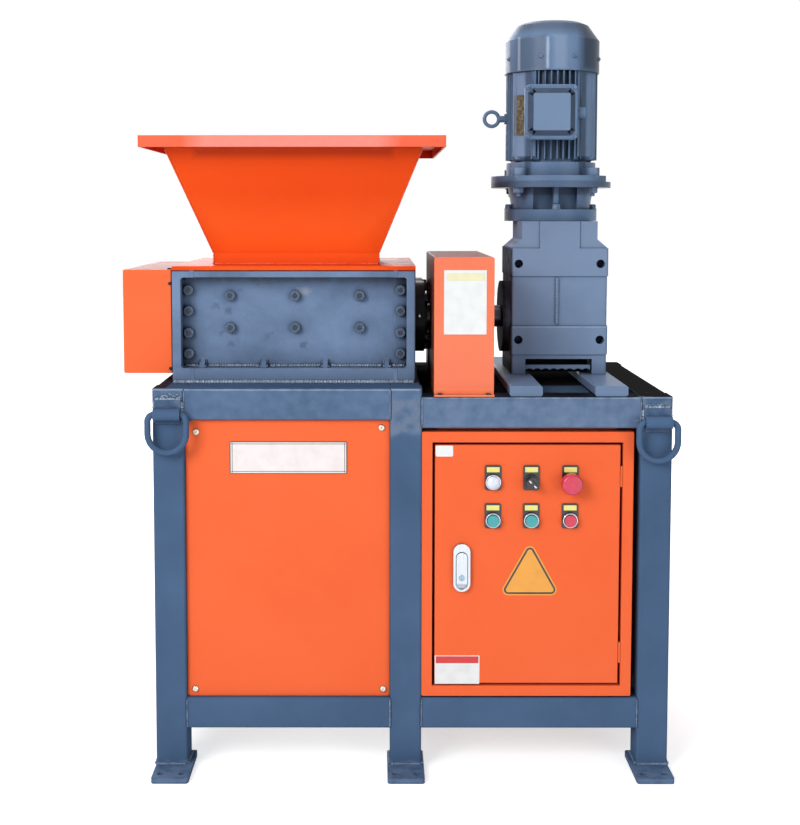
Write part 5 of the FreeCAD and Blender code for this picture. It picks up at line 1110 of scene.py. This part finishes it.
# %% Motor plate and the arch under the gear case
slant = math.sqrt(0.5)
pad_across = (slant, -slant, 0)
PAD_OUT, PAD_SIDE, PAD_Z = 91, 6.5, 1265
pad_spot = at(MOTOR_X - (PAD_OUT + PAD_SIDE) * slant, MOTOR_Y - (PAD_OUT - PAD_SIDE) * slant, PAD_Z)
worn = rectangle(0.037, 0.083, 0.002)
make_piece("motor_plate", [plate(worn, pad_spot, pad_across, UPWARD, 0.0008)], worn_plate, "machine")
ARCH_LEFT, ARCH_RIGHT, SCALLOPS = 233, 364, 8
across_x = np.linspace(ARCH_LEFT, ARCH_RIGHT, 120)
share = (across_x - ARCH_LEFT) / (ARCH_RIGHT - ARCH_LEFT)
wave = 748.5 + 3.0 * np.abs(np.sin(share * math.pi * SCALLOPS))
bottom_top = np.stack([wave, np.full_like(wave, 758.5)])
rows = []
for y, level in ((-99, 0), (-99, 1), (-88, 1), (-88, 0)):
    rows.append(np.stack([STAND_X + across_x * MM, np.full_like(wave, y * MM), bottom_top[level] * MM], -1))
sheet = np.stack(rows)
ends = np.repeat(np.stack([sheet[:, 0].mean(0), sheet[:, -1].mean(0)])[None], 4, 0)
sheet = np.concatenate([ends[:, :1], sheet, ends[:, 1:]], 1)
make_piece("arch_bar", [(sheet.reshape(-1, 3), grid_faces(4, sheet.shape[1], wrap_rows=True))], sole_paint,
           "machine")
# A dark plate behind the bar, as painted shade inside the arch.
dark = rectangle(0.130, 0.030, 0.001)
make_piece("arch_shade", [plate(dark, at(298.5, -60, 755.2), (1, 0, 0), (0, 0, 1), 0.002)], deck_shade_paint,
           "machine")
print("arch ready; pieces made:", len(made_pieces))

# %% [markdown]
# ## Floor, light and camera
# A photo studio: a pale floor, a white room and large soft lamps. The lamps are set so
# that a colour shows about as it is written. The floor and the room add white only to
# what the camera and the reflections see, so no more light falls on the machine and its
# soft shadow stays.

# %% Floor
def stage_material():
    """Pale floor that is brought up to white for camera, glossy and transmission rays."""
    material, tree, shader = new_material("studio floor")
    length = add_node(tree, "ShaderNodeVectorMath", {0: object_place(tree)}, operation="LENGTH")
    far = add_ramp(tree, length.outputs["Value"], 1.0, 2.2)
    strength = add_math(tree, "ADD", add_math(tree, "MULTIPLY", far, 1.0 - NEAR_WHITE), NEAR_WHITE)
    put(tree, shader, {"Base Color": rgb(0.86, 0.86, 0.86), "Roughness": 0.9, "Emission Color": rgb(1, 1, 1),
                       "Emission Strength": add_math(tree, "MULTIPLY", strength, seen_ray(tree))})
    return material


def seen_ray(tree):
    """1 for camera, glossy and transmission rays, 0 for the rays that light the object."""
    path = add_node(tree, "ShaderNodeLightPath")
    seen = add_math(tree, "MAXIMUM", path.outputs["Is Camera Ray"], path.outputs["Is Glossy Ray"])
    return add_math(tree, "MAXIMUM", seen, path.outputs["Is Transmission Ray"])


def make_floor():
    """A wide thin disc: radius against height, revolved."""
    profile = np.array([(0.0, 0.0), (6.0, 0.0), (14.0, 0.0), (14.2, -0.02), (0.0, -0.02)])
    points, quads = lathe(profile, (0, 0, -0.0005), UP, 48)
    mesh = bpy.data.meshes.new("studio_floor")
    mesh.from_pydata(points.tolist(), [], quads.tolist())
    floor = bpy.data.objects.new("studio_floor", mesh)
    bpy.context.scene.collection.objects.link(floor)
    mesh.materials.append(stage_material())
    return floor


NEAR_WHITE = 0.62
print("floor:", make_floor().name)

# %% [markdown]
# Four square lamps stand round the machine: a strong one at the front left, a weaker one
# at the front right, one above and one behind. The room adds a little more from the left.

# %% Lamps and room
def area_lamp(name, place, target, size, power):
    """A square soft lamp that points at a target."""
    lamp = bpy.data.lights.new(name, "AREA")
    lamp.energy, lamp.size = power, size
    obj = bpy.data.objects.new(name, lamp)
    bpy.context.scene.collection.objects.link(obj)
    obj.location = place
    obj.rotation_euler = (Vector(target) - Vector(place)).to_track_quat("-Z", "Y").to_euler()
    return obj


area_lamp("key", (-2.4, -3.4, 2.6), (0, 0, 0.8), 2.0, 124)
area_lamp("fill", (2.6, -3.4, 1.4), (0, 0, 0.7), 2.6, 48)
area_lamp("top", (0.2, 0.6, 4.0), (0, 0, 0.8), 2.4, 42)
area_lamp("rear", (-1.0, 3.6, 2.6), (0, 0, 0.8), 2.6, 70)

world = bpy.data.worlds.new("studio room")
bpy.context.scene.world = world
world.use_nodes = True
room = world.node_tree
room.nodes.clear()
direction = add_node(room, "ShaderNodeTexCoord").outputs["Generated"]
sideways = add_node(room, "ShaderNodeSeparateXYZ", {0: direction}).outputs[0]
from_left = add_ramp(room, sideways, 0.9, -0.9)
strength = add_math(room, "ADD", add_math(room, "MULTIPLY", from_left, 0.30), 0.10)
ambient = add_node(room, "ShaderNodeBackground", {"Color": rgb(0.90, 0.95, 1.0), "Strength": strength})
backdrop = add_node(room, "ShaderNodeBackground", {"Color": rgb(1, 1, 1), "Strength": 1.0})
mix = add_node(room, "ShaderNodeMixShader",
               {"Fac": seen_ray(room), 1: ambient.outputs[0], 2: backdrop.outputs[0]})
add_node(room, "ShaderNodeOutputWorld", {"Surface": mix.outputs[0]})
print("lamps:", len(bpy.data.lights))

# %% [markdown]
# The camera stands in front of the machine, a little left of its middle and at about three
# quarters of its height, and looks slightly down. The lens follows from the focal length in
# pixels, and the shift moves the picture without turning the camera.

# %% Camera
PHOTO_LONG_SIDE = 825.0
FOCAL_PIXELS = 1288.0
CAMERA_PITCH, CAMERA_HEADING = math.radians(4.16), math.radians(0.09)
CAMERA_LEFT, CAMERA_AWAY, CAMERA_HEIGHT = 66.6, 2686.9, 1065
camera_data = bpy.data.cameras.new("camera")
camera = bpy.data.objects.new("camera", camera_data)
bpy.context.scene.collection.objects.link(camera)
camera_data.sensor_width = 36.0
camera_data.lens = FOCAL_PIXELS * camera_data.sensor_width / PHOTO_LONG_SIDE
camera_data.shift_x = 0.0302
camera_data.shift_y = -0.1285
camera.location = at(-CAMERA_LEFT, -CAMERA_AWAY, CAMERA_HEIGHT)
camera.rotation_euler = (math.pi / 2 - CAMERA_PITCH, 0, CAMERA_HEADING)
bpy.context.scene.camera = camera
bpy.context.scene.view_settings.view_transform = "Standard"
print("lens", round(camera_data.lens, 2), "pieces made:", len(made_pieces))

# %% [markdown]
# ## The end

# %% Finish
import json
